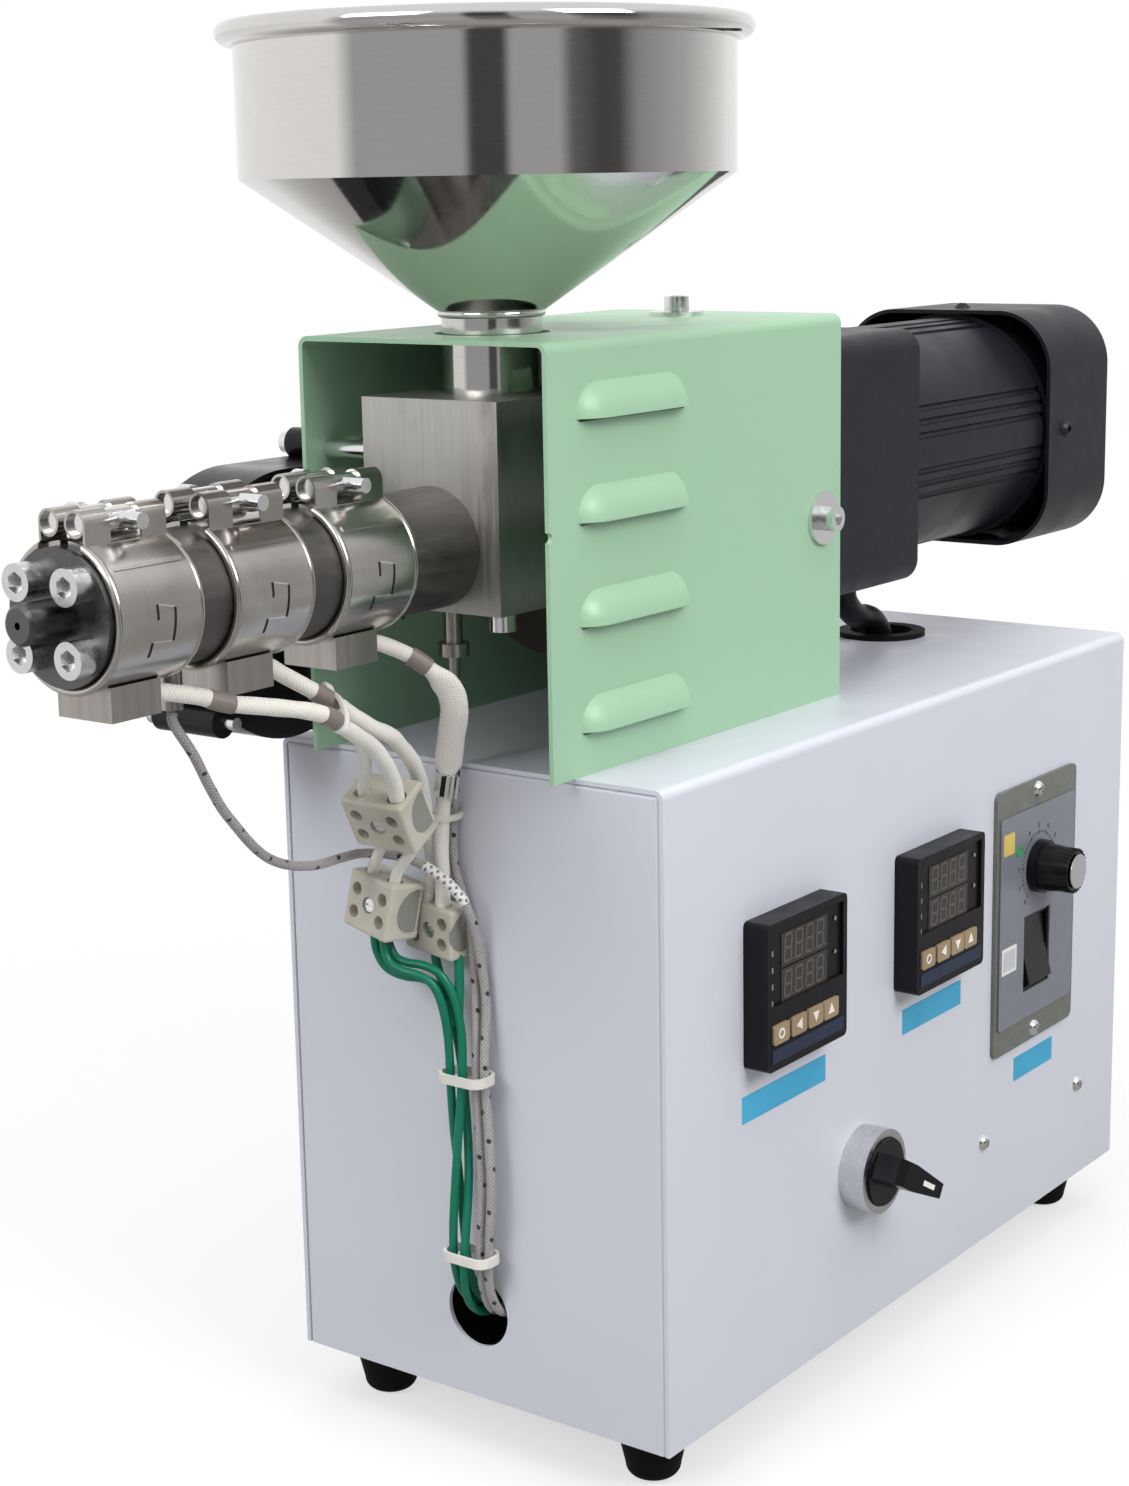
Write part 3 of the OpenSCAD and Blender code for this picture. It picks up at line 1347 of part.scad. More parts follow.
function unit(v) = v / norm(v);
function heading(p, i) = unit(
    (i < len(p) - 1 ? unit(p[i + 1] - p[i]) : [0, 0, 0]) + (i > 0 ? unit(p[i] - p[i - 1]) : [0, 0, 0]));
function ring_points(p, i, r) =
    let (t = heading(p, i), u = unit(cross(t, [0, 1, 0])), v = cross(t, u))
    [for (k = [0:sides - 1]) p[i] + r * (cos(k * 360 / sides) * u + sin(k * 360 / sides) * v)];

module tube(p, r) {
    last = (len(p) - 1) * sides;
    points = [for (i = [0:len(p) - 1]) each ring_points(p, i, r)];
    walls = [for (i = [0:len(p) - 2], k = [0:sides - 1])
        let (a = i * sides + k, b = i * sides + (k + 1) % sides)
        each [[a, a + sides, b + sides], [a, b + sides, b]]];
    caps = [[for (k = [0:sides - 1]) k], [for (k = [sides - 1:-1:0]) last + k]];
    polyhedron(points = points, faces = concat(walls, caps), convexity = 8);
}

route_front = [
    [-132.7, 74, 275], [-129, 74, 275], [-117, 71, 272], [-109, 68, 269], [-100, 65, 267],
    [-92, 63, 265.2], [-84, 61, 263.2], [-77, 60, 260.5], [-71, 61, 256], [-65, 64, 250], [-58, 68, 243],
    [-49, 72, 236], [-40, 75, 231.5], [-32, 76.7, 229.5], [-32, 76.7, 226.1]];
route_middle = [
    [-89.4, 74, 275], [-86, 74, 275], [-82, 72, 272], [-76, 68, 267.5], [-69, 66, 263], [-60, 66, 257],
    [-50, 67.5, 251], [-40, 70, 246], [-29, 73.5, 239], [-18, 76, 231.5], [-12, 77, 221],
    [-10.5, 77.5, 208], [-9.5, 78, 198], [-10, 79.5, 190], [-10, 79.5, 184.6]];
route_rear = [
    [-45.1, 74, 275], [-41, 74, 275], [-37, 73, 273.6], [-31, 70, 270], [-25, 66, 265], [-20, 63, 259],
    [-16, 61.5, 252], [-13, 64, 244], [-10, 69, 236], [-7, 71.5, 226], [-5, 72, 214], [-5, 71.5, 203],
    [-7.5, 71, 193], [-7.5, 71, 184.6]];
route_barrel_sensor = [
    [-119, 79, 267.8], [-119, 79, 264], [-112, 79, 254], [-104, 82, 244], [-96, 85, 235], [-88, 88, 228],
    [-77, 92, 219], [-66, 96, 212], [-56, 97, 207.5], [-45, 96.5, 205], [-33, 94, 204.6],
    [-22, 91.5, 204], [-11, 90, 201], [-5.6, 87, 197], [-4.9, 81, 191], [-2.8, 76, 185], [-2, 73, 179],
    [-2, 68, 171], [-3, 65, 155], [-6, 64.6, 135], [-6.5, 63, 115], [-7, 62.2, 95], [-7, 63.5, 78],
    [-5.5, 65.2, 62], [0, 65.4, 51.5], [9, 65.4, 49]];
route_feed_sensor = [
    [2, 79, 253.9], [2, 79, 249], [0, 78, 243.5], [-4, 77.6, 237], [-4, 79, 226], [-3, 80, 214],
    [-2, 84, 203], [-2, 85.5, 195], [-2.5, 85, 186], [-2.2, 82, 172], [-2.2, 75, 160], [-3, 70, 148],
    [-5.5, 68.2, 135], [-6.3, 67.2, 115], [-6.6, 66.4, 95], [-6.6, 67.4, 78], [-5, 68.4, 62],
    [0, 68.6, 51.5], [9, 68.6, 49]];
route_control = [
    [-13, 97, 174.8], [-13, 97, 168], [-12.5, 91, 162], [-10.5, 83, 158.5], [-9, 77.5, 154.5],
    [-8, 74.6, 147], [-8, 73.5, 137], [-8, 73.5, 126], [-8, 73.5, 114], [-8, 73.5, 102], [-8, 73.8, 90],
    [-8, 74.2, 78], [-7.5, 74.4, 67], [-4.5, 74.4, 57], [2, 74.4, 51], [10, 74.4, 49]];

// the motor's lead drops from the motor and turns into the hole in the roof
motor_lead_x = motor_x + 23;
motor_lead_span = roof_hole_x - motor_lead_x;
motor_lead_z = motor_z - motor_diameter / 2 - 0.1;
motor_lead_steps = [[0, 0], [0, -8.4], [0.1, -17.4], [0.37, -23.4], [0.67, -25.4], [0.9, -30.4], [1, -38.4],
    [1, -50.4]];
route_motor = [for (p = motor_lead_steps) [motor_lead_x + p[0] * motor_lead_span, machine_y, motor_lead_z + p[1]]];

module heater_lead_front() {
    color([0.85, 0.83, 0.78]) placed() tube(route_front, sleeve_r);
}

module heater_lead_middle() {
    color([0.85, 0.83, 0.78]) placed() tube(route_middle, sleeve_r);
}

module heater_lead_rear() {
    color([0.85, 0.83, 0.78]) placed() tube(route_rear, sleeve_r);
}

module barrel_sensor_lead() {
    color([0.4, 0.4, 0.4]) placed() tube(route_barrel_sensor, sensor_r);
}

module feed_sensor_lead() {
    color([0.4, 0.4, 0.4]) placed() tube(route_feed_sensor, sensor_r);
}

module control_wires() {
    color([0.2, 0.5, 0.3]) placed() tube(route_control, bundle_r);
}

module motor_lead() {
    color([0.06, 0.06, 0.06]) placed() tube(route_motor, motor_lead_r);
}

block_size = [22, 24, 13];
small_block = [9.6, 20, 19];
low_block = [9.6, 19, 12];
block_turn = 15;
wire_hole = [3.2, 3.4];
hole_share = [0.27, 0.21];
screw_well = [4.6, 2.4];
well_screw = [4.2, 1.6];
side_recess = [0.8, 0.5];

// a ceramic connector: four wire pockets round a slotted screw, a shallow disc in one side
module ceramic_block(s) {
    front = -s[0] / 2;
    difference() {
        cube(s, center = true);
        for (y = [-1, 1], z = [-1, 1])
            bar_x(front - cut, front + wire_hole[1], wire_hole[0] / 2, y * s[1] * hole_share[0],
                z * s[2] * hole_share[1]);
        bar_x(front - cut, front + screw_well[1], screw_well[0] / 2, 0, 0);
        bar_y(-s[1] / 2 - cut, -s[1] / 2 + side_recess[1], min(s[0], s[2]) / 2 * side_recess[0], 0, 0);
    }
    difference() {
        bar_x(front + screw_well[1] - well_screw[1], front + screw_well[1] + cut, well_screw[0] / 2, 0, 0);
        block([front, -well_screw[0], -gap], [front + screw_well[1] - well_screw[1] / 2, well_screw[0], gap]);
    }
}

module terminal_blocks() {
    color([0.86, 0.83, 0.74]) placed() {
        translate([-30, 80, 226 - block_size[2] / 2]) rotate([0, 0, block_turn]) ceramic_block(block_size);
        translate([-13, 96.5, 184.5]) ceramic_block(small_block);
        translate([-9.4, 75.6, 184.5 - low_block[2] / 2]) ceramic_block(low_block);
    }
}

tie_width = 3;
tie_thick = 1.1;

// an oval band lying level round the bundle, centred on a point
module tie(p, half_w, half_d) {
    translate(p) translate([0, 0, -tie_width / 2]) linear_extrude(tie_width) difference() {
        rounded(2 * (half_d + tie_thick), 2 * (half_w + tie_thick), half_d);
        rounded(2 * half_d, 2 * half_w, half_d - tie_thick);
    }
}

module cable_ties() {
    color([0.88, 0.87, 0.82]) placed() {
        tie([-8, 70.2, 132], 8, 4.6);
        tie([-7.7, 70.5, 72], 8.2, 4.5);
    }
}

cabinet_shell();
cabinet_front_panel();
cabinet_rear_panel();
cabinet_base();
rubber_feet();
roof_grommet();
power_inlet();
panel_screws();
mounting_plate();
drive_screws();
bearing_housing();
screw_bearings();
feed_block();
barrel();
die_head();
die_screws();
band_heater_front();
band_heater_middle();
band_heater_rear();
heater_terminal_boxes();
heater_clamps();
hood();
frame_screws();
thermocouple_fittings();
blower_case();
gearhead();
motor_body();
motor_fan_cover();
temp_controller_1();
temp_controller_2();
speed_controller();
switch_housing();
selector_bezel();
extruder_screw();
shaft_coupling();
output_shaft();
motor_rotor();
rotor_fan();
blower_impeller();
speed_knob();
run_switch();
selector_knob();
hopper();
set_button_1();
left_button_1();
down_button_1();
up_button_1();
set_button_2();
left_button_2();
down_button_2();
up_button_2();
heater_lead_front();
heater_lead_middle();
heater_lead_rear();
barrel_sensor_lead();
feed_sensor_lead();
control_wires();
motor_lead();
terminal_blocks();
cable_ties();
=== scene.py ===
"""Looks of the filament extruder: materials, leads, small details, stage and light.

Lengths are in metres, and mm() takes the cabinet's own frame, in millimetres."""
from math import acos, atan2, cos, exp, hypot, pi, radians, sin

import bmesh
import bpy
from mathutils import Matrix, Vector

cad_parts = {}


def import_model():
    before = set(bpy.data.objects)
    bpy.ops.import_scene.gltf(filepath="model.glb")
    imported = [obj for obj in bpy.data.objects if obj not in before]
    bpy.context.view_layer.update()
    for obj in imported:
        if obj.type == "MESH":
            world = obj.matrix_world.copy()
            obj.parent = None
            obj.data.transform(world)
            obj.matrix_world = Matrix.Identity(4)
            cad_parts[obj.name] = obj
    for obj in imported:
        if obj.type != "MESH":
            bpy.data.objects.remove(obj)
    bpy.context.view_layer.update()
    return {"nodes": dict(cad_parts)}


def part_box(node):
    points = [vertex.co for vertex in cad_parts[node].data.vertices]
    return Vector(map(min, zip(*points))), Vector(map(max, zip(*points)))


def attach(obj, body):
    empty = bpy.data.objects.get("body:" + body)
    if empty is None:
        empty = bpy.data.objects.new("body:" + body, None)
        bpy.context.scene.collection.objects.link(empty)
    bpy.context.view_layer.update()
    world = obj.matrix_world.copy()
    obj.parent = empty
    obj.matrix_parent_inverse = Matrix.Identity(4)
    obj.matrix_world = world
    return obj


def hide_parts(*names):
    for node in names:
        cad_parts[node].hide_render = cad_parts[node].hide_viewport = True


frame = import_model()
nodes = frame["nodes"]
bpy.context.scene.view_settings.view_transform = "Standard"

# the part's frame is the cabinet's frame moved by these, in millimetres
MID_X, MID_Y = 97.0, 68.0
# the barrel's axis, and the cabinet's roof
AXIS_Y, AXIS_Z, ROOF = 79.0, 298.5, 231.0


def mm(x, y, z):
    return Vector(((x - MID_X) / 1000, (y - MID_Y) / 1000, z / 1000))


def linked(name, data):
    """an object of this data, in the scene"""
    o = bpy.data.objects.new(name, data)
    bpy.context.scene.collection.objects.link(o)
    return o


# -------- camera
# fitted to the photograph: place in mm, then turn, height and roll in degrees, then pixels
CAMERA_PLACE = (-610.3885, -419.8076, 406.2673)
CAMERA_ANGLES = (-53.279317, 12.201197, -1.044680)
FOCAL_PIXELS, PHOTO_HEIGHT = 2603.4334, 1486
SENSOR = 36


def make_camera():
    az, el, roll = (radians(v) for v in CAMERA_ANGLES)
    back = Vector((sin(az) * cos(el), -cos(az) * cos(el), sin(el)))
    right = (-back).cross(Vector((0, 0, 1))).normalized()
    up = right.cross(-back)
    right2 = cos(roll) * right + sin(roll) * up
    up2 = -sin(roll) * right + cos(roll) * up
    cam = linked("camera", bpy.data.cameras.new("camera"))
    m = Matrix((right2, up2, back)).transposed().to_4x4()
    m.translation = mm(*CAMERA_PLACE)
    cam.matrix_world = m
    cam.data.sensor_fit = "AUTO"
    cam.data.sensor_width = SENSOR
    cam.data.lens = FOCAL_PIXELS * SENSOR / PHOTO_HEIGHT
    cam.data.clip_start = 0.01
    cam.data.clip_end = 50
    bpy.context.scene.camera = cam


make_camera()


# -------- materials
MATS = {}


class Mat:
    """builds one procedural material, node by node"""

    def __init__(self, name, color, rough=0.5, metal=0.0, **sockets):
        self.m = bpy.data.materials.new(name)
        self.m.use_nodes = True
        self.t = self.m.node_tree
        self.b = self.t.nodes["Principled BSDF"]
        self.put(self.b, Base_Color=(*color, 1), Roughness=rough, Metallic=metal, **sockets)
        self.color = color
        self.height = None
        MATS[name] = self.m

    def n(self, kind, **props):
        node = self.t.nodes.new(kind)
        for k, v in props.items():
            setattr(node, k, v)
        return node

    def put(self, node, **values):
        """sets the node's sockets, named with _ for a space"""
        for k, v in values.items():
            node.inputs[k.replace("_", " ")].default_value = v

    def link(self, a, b):
        self.t.links.new(a, b)

    def pos(self, scale=(1, 1, 1)):
        c = self.n("ShaderNodeTexCoord")
        mp = self.n("ShaderNodeMapping")
        self.put(mp, Scale=scale)
        self.link(c.outputs["Object"], mp.inputs["Vector"])
        return mp.outputs["Vector"]

    def noise(self, scale, detail=4, rough=0.5, vec=None, dist=0.0):
        x = self.n("ShaderNodeTexNoise")
        self.put(x, Scale=scale, Detail=detail, Roughness=rough, Distortion=dist)
        self.link(vec if vec is not None else self.pos(), x.inputs["Vector"])
        return x.outputs["Fac"]

    def ramp(self, fac, stops):
        r = self.n("ShaderNodeValToRGB")
        e = r.color_ramp.elements
        while len(e) > len(stops):
            e.remove(e[-1])
        while len(e) < len(stops):
            e.new(1)
        for s, (p, c) in zip(e, stops):
            s.position = p
            s.color = (*c, 1) if isinstance(c, tuple) else (c, c, c, 1)
        self.link(fac, r.inputs["Fac"])
        return r.outputs["Color"]

    def math(self, op, a, b=0.0):
        x = self.n("ShaderNodeMath", operation=op)
        for i, v in enumerate((a, b)):
            if isinstance(v, (int, float)):
                x.inputs[i].default_value = v
            else:
                self.link(v, x.inputs[i])
        return x.outputs[0]

    def mix(self, fac, a, b):
        x = self.n("ShaderNodeMix", data_type="RGBA")
        for name, kind, v in (("Factor", "VALUE", fac), ("A", "RGBA", a), ("B", "RGBA", b)):
            sock = [i for i in x.inputs if i.name == name and i.type == kind][0]
            if isinstance(v, (int, float)):
                sock.default_value = v
            elif isinstance(v, tuple):
                sock.default_value = (*v, 1)
            else:
                self.link(v, sock)
        return [o for o in x.outputs if o.type == "RGBA"][0]

    def base(self, out):
        self.link(out, self.b.inputs["Base Color"])

    def tint(self, fac, amount):
        """colour that varies a little with fac"""
        dark = tuple(max(0, v * (1 - amount)) for v in self.color)
        light = tuple(min(1, v * (1 + amount)) for v in self.color)
        self.base(self.ramp(fac, [(0.3, dark), (0.7, light)]))

    def rough(self, fac, lo, hi):
        mr = self.n("ShaderNodeMapRange")
        self.put(mr, From_Min=0.3, From_Max=0.7, To_Min=lo, To_Max=hi)
        self.link(fac, mr.inputs["Value"])
        self.link(mr.outputs[0], self.b.inputs["Roughness"])

    def bump(self, fac, strength, dist=0.0002):
        bp = self.n("ShaderNodeBump")
        self.put(bp, Strength=strength, Distance=dist)
        self.link(fac, bp.inputs["Height"])
        if self.height is not None:
            self.link(self.height, bp.inputs["Normal"])
        self.height = bp.outputs["Normal"]
        self.link(self.height, self.b.inputs["Normal"])


def paint(name, color, rough=0.42, peel=0.12, dirt=0.03, shine=0.5):
    m = Mat(name, color, rough, Specular_IOR_Level=shine)
    m.tint(m.noise(9, 5, 0.6), dirt)
    m.rough(m.noise(60, 3), rough - 0.05, rough + 0.07)
    m.bump(m.noise(900, 2), peel, 0.00015)
    m.bump(m.noise(14, 2), 0.05, 0.001)


def metal(name, color, rough=0.3, grain=(1, 1, 1), scale=400, vary=0.12, strength=0.1, spread=0.12):
    m = Mat(name, color, rough, 1.0)
    v = m.pos(scale=grain)
    f = m.noise(scale, 6, 0.65, v)
    m.tint(m.math("ADD", m.math("MULTIPLY", f, 0.6), m.math("MULTIPLY", m.noise(18, 3), 0.4)), vary)
    m.rough(f, max(0.05, rough - 0.1), rough + spread)
    m.bump(f, strength, 0.0001)


def plastic(name, color, rough=0.4, grain=0.15, scale=1500, shine=0.5):
    m = Mat(name, color, rough, Specular_IOR_Level=shine)
    m.tint(m.noise(30, 4), 0.12)
    m.rough(m.noise(80, 3), rough - 0.06, rough + 0.08)
    m.bump(m.noise(scale, 2), grain, 0.0001)


paint("cabinet_paint", (0.62, 0.635, 0.70), 0.38, peel=0.10, dirt=0.015)
paint("hood_paint", (0.335, 0.535, 0.36), 0.36, dirt=0.02)
paint("motor_paint", (0.011, 0.0125, 0.0165), 0.38, peel=0.3, dirt=0.15, shine=0.16)
paint("brown_paint", (0.050, 0.036, 0.032), 0.5, peel=0.3, dirt=0.2)
metal("zinc_sheet", (0.55, 0.56, 0.58), 0.4, scale=60, vary=0.15)
metal("chrome", (0.80, 0.80, 0.80), 0.16, scale=500, vary=0.06, strength=0.05)
metal("shaft_steel", (0.60, 0.60, 0.60), 0.28, (0.1, 1, 1), scale=900, vary=0.1)
metal("black_screw", (0.05, 0.05, 0.052), 0.42, scale=700, vary=0.25)
metal("zinc_screw", (0.70, 0.71, 0.71), 0.26, scale=500, strength=0.12)
metal("die_steel", (0.135, 0.132, 0.13), 0.34, (0.3, 1, 1), scale=300, vary=0.2)
metal("dark_steel", (0.15, 0.14, 0.134), 0.46, (0.25, 1, 1), scale=260, vary=0.22, strength=0.12)
metal("spun_steel", (0.68, 0.66, 0.64), 0.10, (1, 1, 9), scale=160, vary=0.04, strength=0.004, spread=0.0)
metal("turned_aluminium", (0.66, 0.66, 0.68), 0.3, (1, 6, 1), scale=500, vary=0.02, strength=0.02)
plastic("crimp_grey", (0.21, 0.175, 0.155), 0.4, 0.1, shine=0.5)
plastic("black_rubber", (0.004, 0.004, 0.0045), 0.6, 0.25, shine=0.12)
plastic("black_plastic", (0.005, 0.005, 0.007), 0.38, 0.3, shine=0.2)
plastic("gloss_black", (0.004, 0.004, 0.005), 0.22, 0.06, shine=0.28)
plastic("rocker_black", (0.008, 0.008, 0.009), 0.28, 0.05, shine=0.35)
plastic("button_tan", (0.30, 0.225, 0.135), 0.5, 0.08, shine=0.3)
plastic("strip_blue", (0.013, 0.022, 0.050), 0.4, 0.05, shine=0.3)
plastic("display_dark", (0.034, 0.030, 0.027), 0.3, 0.02, shine=0.3)
# near-black finish for painted shade: the upright runs of the bands' lanced slits, and the box between the
# rear clip's bars
plastic("painted_shade_dark", (0.016, 0.013, 0.012), 0.6, 0.05, shine=0.2)
plastic("segment_off", (0.095, 0.085, 0.077), 0.4, 0.02, shine=0.3)
plastic("legend_white", (0.75, 0.73, 0.68), 0.5, 0.03)
plastic("legend_dim", (0.22, 0.21, 0.20), 0.5, 0.03)
plastic("label_pale", (0.50, 0.52, 0.56), 0.45, 0.03)
plastic("label_blue", (0.05, 0.37, 0.60), 0.5, 0.08)
plastic("sticker_yellow", (0.62, 0.47, 0.12), 0.5, 0.05)
plastic("mark_green", (0.04, 0.30, 0.12), 0.5, 0.05)
plastic("print_dark", (0.05, 0.055, 0.07), 0.5, 0.02)
plastic("tie_white", (0.72, 0.70, 0.65), 0.35, 0.05)
plastic("wire_green", (0.004, 0.165, 0.095), 0.34, 0.08, shine=0.35)
# dark ceramic colour painted as the shade in the blocks' side recesses
plastic("ceramic_shade", (0.23, 0.225, 0.20), 0.6, 0.05)


def ground_steel():
    """flat ground steel with upright mill streaks and small stains"""
    m = Mat("ground_steel", (0.50, 0.48, 0.46), 0.42, 1.0)
    streak = m.noise(700, 5, 0.7, m.pos(scale=(1, 1, 0.025)))
    stain = m.noise(55, 5, 0.6, m.pos(scale=(1, 1, 0.5)))
    c = m.ramp(streak, [(0.25, (0.42, 0.405, 0.385)), (0.5, (0.50, 0.485, 0.465)),
                        (0.8, (0.57, 0.555, 0.53))])
    c = m.mix(m.ramp(stain, [(0.58, 0.0), (0.72, 0.55)]), c, (0.26, 0.235, 0.215))
    m.base(c)
    m.rough(streak, 0.34, 0.52)
    m.bump(streak, 0.12, 0.0001)


def strap_steel():
    """bright rolled strap: satin, with smoky heat marks and fine lines round the barrel"""
    m = Mat("strap_steel", (0.52, 0.49, 0.46), 0.2, 1.0)
    big = m.noise(26, 3, 0.5, dist=0.8)
    fine = m.noise(900, 4, 0.6, m.pos(scale=(1, 0.12, 0.12)))
    c = m.ramp(big, [(0.32, (0.42, 0.39, 0.36)), (0.5, (0.54, 0.515, 0.485)), (0.72, (0.62, 0.60, 0.575))])
    c = m.mix(m.math("MULTIPLY", fine, 0.25), c, (0.38, 0.35, 0.33))
    m.base(c)
    m.rough(big, 0.15, 0.25)
    m.bump(big, 0.10, 0.0010)
    m.bump(fine, 0.03, 0.0001)


def box_steel():
    """folded steel of the terminal boxes, drawn upright"""
    m = Mat("box_steel", (0.42, 0.39, 0.36), 0.3, 1.0)
    f = m.noise(420, 4, 0.55, m.pos(scale=(1, 1, 0.05)))
    c = m.ramp(f, [(0.3, (0.37, 0.34, 0.31)), (0.7, (0.45, 0.42, 0.395))])
    m.base(c)
    m.rough(m.noise(40, 3), 0.22, 0.38)
    m.bump(f, 0.05, 0.0001)


FULL_TURN = 6.28318


def woven(name, color, dark, around, along, fleck=None, rough=0.8, strength=0.5):
    """sleeving: a plain weave from the tube's own u and v, with optional dark flecks"""
    m = Mat(name, color, rough, Sheen_Weight=0.2)
    uv = m.n("ShaderNodeUVMap", uv_map="tube")
    sep = m.n("ShaderNodeSeparateXYZ")
    m.link(uv.outputs["UV"], sep.inputs[0])

    def wave(lean, turns, beats):
        """a sine over the tube's u and v that leans one way or the other"""
        u, v = m.math("MULTIPLY", sep.outputs[0], turns), m.math("MULTIPLY", sep.outputs[1], beats)
        return m.math("SINE", m.math("MULTIPLY", m.math(lean, u, v), FULL_TURN))

    threads = m.math("MAXIMUM", wave("ADD", around, along), wave("SUBTRACT", around, along))
    w = m.math("ADD", m.math("MULTIPLY", threads, 0.5), 0.5)
    c = m.ramp(w, [(0.1, dark), (0.75, color)])
    blot = m.noise(45, 4, 0.6)
    c = m.mix(m.ramp(blot, [(0.4, 0.0), (0.75, 0.35)]), c, dark)
    if fleck:
        one, other = wave("ADD", 1.0, fleck), wave("SUBTRACT", 1.0, fleck * 0.7)
        both = m.math("MULTIPLY", m.math("MAXIMUM", one, 0), m.math("MAXIMUM", other, 0))
        c = m.mix(m.math("GREATER_THAN", both, 0.72), c, (0.02, 0.02, 0.022))
    m.base(c)
    m.bump(w, strength, 0.0003)


woven("glass_sleeve", (0.80, 0.775, 0.715), (0.62, 0.59, 0.53), 10, 900, None, 0.75, 0.25)
woven("bare_braid", (0.80, 0.79, 0.77), (0.10, 0.10, 0.095), 3, 420, None, 0.3, 0.8)
woven("braid_grey", (0.40, 0.375, 0.37), (0.20, 0.185, 0.18), 7, 700, 125, 0.6, 0.5)


def ceramic():
    """unglazed steatite, a little dirty"""
    m = Mat("ceramic", (0.50, 0.48, 0.405), 0.5, Subsurface_Weight=0.05)
    c = m.ramp(m.noise(60, 5, 0.6), [(0.3, (0.43, 0.405, 0.335)), (0.65, (0.54, 0.52, 0.445))])
    m.base(c)
    m.rough(m.noise(120, 3), 0.42, 0.62)
    m.bump(m.noise(1100, 3), 0.3, 0.0001)


# the raised label's face is nearer the camera than this y, in metres
LABEL_LEVEL = -0.0699


def speed_plate():
    """grey-green plate; the raised label on it is silver"""
    m = Mat("plate_grey", (0.165, 0.175, 0.155), 0.42, 0.25)
    sep = m.n("ShaderNodeSeparateXYZ")
    m.link(m.pos(), sep.inputs[0])
    on_label = m.math("LESS_THAN", sep.outputs[1], LABEL_LEVEL)
    plate = m.ramp(m.noise(300, 4), [(0.3, (0.15, 0.16, 0.14)), (0.7, (0.18, 0.19, 0.17))])
    brushed = m.noise(700, 5, 0.6, m.pos(scale=(0.1, 1, 5)))
    label = m.ramp(brushed, [(0.3, (0.20, 0.21, 0.245)), (0.7, (0.24, 0.25, 0.285))])
    m.base(m.mix(on_label, plate, label))
    m.rough(m.noise(90, 3), 0.36, 0.5)
    m.bump(m.noise(900, 3), 0.15, 0.0001)


speed_plate()
ground_steel()
strap_steel()
box_steel()
ceramic()

# the CAD nodes of each finish; keys are tan, and the leads, which the scene replaces, are sleeving
FINISHES = {
    "cabinet_paint": ("cabinet_shell", "cabinet_front_panel", "cabinet_rear_panel"),
    "zinc_sheet": ("cabinet_base",),
    "black_rubber": ("rubber_feet", "roof_grommet"),
    "black_plastic": ("power_inlet", "temp_controller_1", "temp_controller_2", "rotor_fan",
        "blower_impeller", "motor_lead"),
    "chrome": ("panel_screws", "heater_clamps", "frame_screws"),
    "ground_steel": ("mounting_plate", "feed_block"),
    "black_screw": ("drive_screws",),
    "brown_paint": ("bearing_housing",),
    "shaft_steel": ("screw_bearings", "extruder_screw", "output_shaft", "motor_rotor"),
    "dark_steel": ("barrel", "shaft_coupling"),
    "die_steel": ("die_head",),
    "zinc_screw": ("die_screws",),
    "strap_steel": ("band_heater_front", "band_heater_middle", "band_heater_rear"),
    "box_steel": ("heater_terminal_boxes", "thermocouple_fittings"),
    "hood_paint": ("hood",),
    "gloss_black": ("blower_case", "switch_housing", "speed_knob", "selector_knob"),
    "motor_paint": ("gearhead", "motor_body", "motor_fan_cover"),
    "plate_grey": ("speed_controller",),
    "turned_aluminium": ("selector_bezel",),
    "rocker_black": ("run_switch",),
    "spun_steel": ("hopper",),
    "ceramic": ("terminal_blocks",),
    "tie_white": ("cable_ties",),
}
NODE_MATS = {node: finish for finish, group in FINISHES.items() for node in group}
for name, obj in nodes.items():
    m = MATS["button_tan" if "_button_" in name else NODE_MATS.get(name, "glass_sleeve")]
    if not obj.material_slots:
        obj.data.materials.append(m)
    for s in obj.material_slots:
        s.material = m


# -------- mesh helpers
def placed(name, me, mat=None, body=None):
    """an object of this mesh, with its finish and the body it rides on"""
    o = linked(name, me)
    if mat:
        me.materials.append(MATS[mat])
    if body:
        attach(o, body)
    return o


def baked(name, bm):
    """a mesh of what bm holds, which is then freed"""
    me = bpy.data.meshes.new(name)
    bm.to_mesh(me)
    bm.free()
    return me


def new_obj(name, verts, faces, mat, smooth=False, uvs=None):
    """a piece that rides on the frame; uvs are the tube's own coordinates"""
    me = bpy.data.meshes.new(name)
    me.from_pydata([tuple(v) for v in verts], [], faces)
    if uvs:
        layer = me.uv_layers.new(name="tube")
        for poly in me.polygons:
            for li, vi in zip(poly.loop_indices, poly.vertices):
                layer.data[li].uv = uvs[vi]
    me.update()
    for p in me.polygons:
        p.use_smooth = smooth
    return placed(name, me, mat, "frame")


def solid(name, polys, mat, body="frame", bevel=0.0):
    """joined closed prisms: each item is (outline points, offset vector), in metres"""
    bm = bmesh.new()
    for pts, off in polys:
        a = [bm.verts.new(p) for p in pts]
        b = [bm.verts.new(Vector(p) + off) for p in pts]
        bm.faces.new(a)
        bm.faces.new(list(reversed(b)))
        k = len(a)
        for i in range(k):
            bm.faces.new((a[i], b[i], b[(i + 1) % k], a[(i + 1) % k]))
    bmesh.ops.recalc_face_normals(bm, faces=bm.faces)
    if bevel:
        bmesh.ops.bevel(bm, geom=list(bm.edges), offset=bevel / 1000, segments=2, affect="EDGES",
                        profile=0.6)
    placed(name, baked(name, bm), mat, body)


def polar(cx, cz, y, spots):
    """points given as radius and angle round a middle"""
    return [mm(cx + r * cos(a), y, cz + r * sin(a)) for r, a in spots]


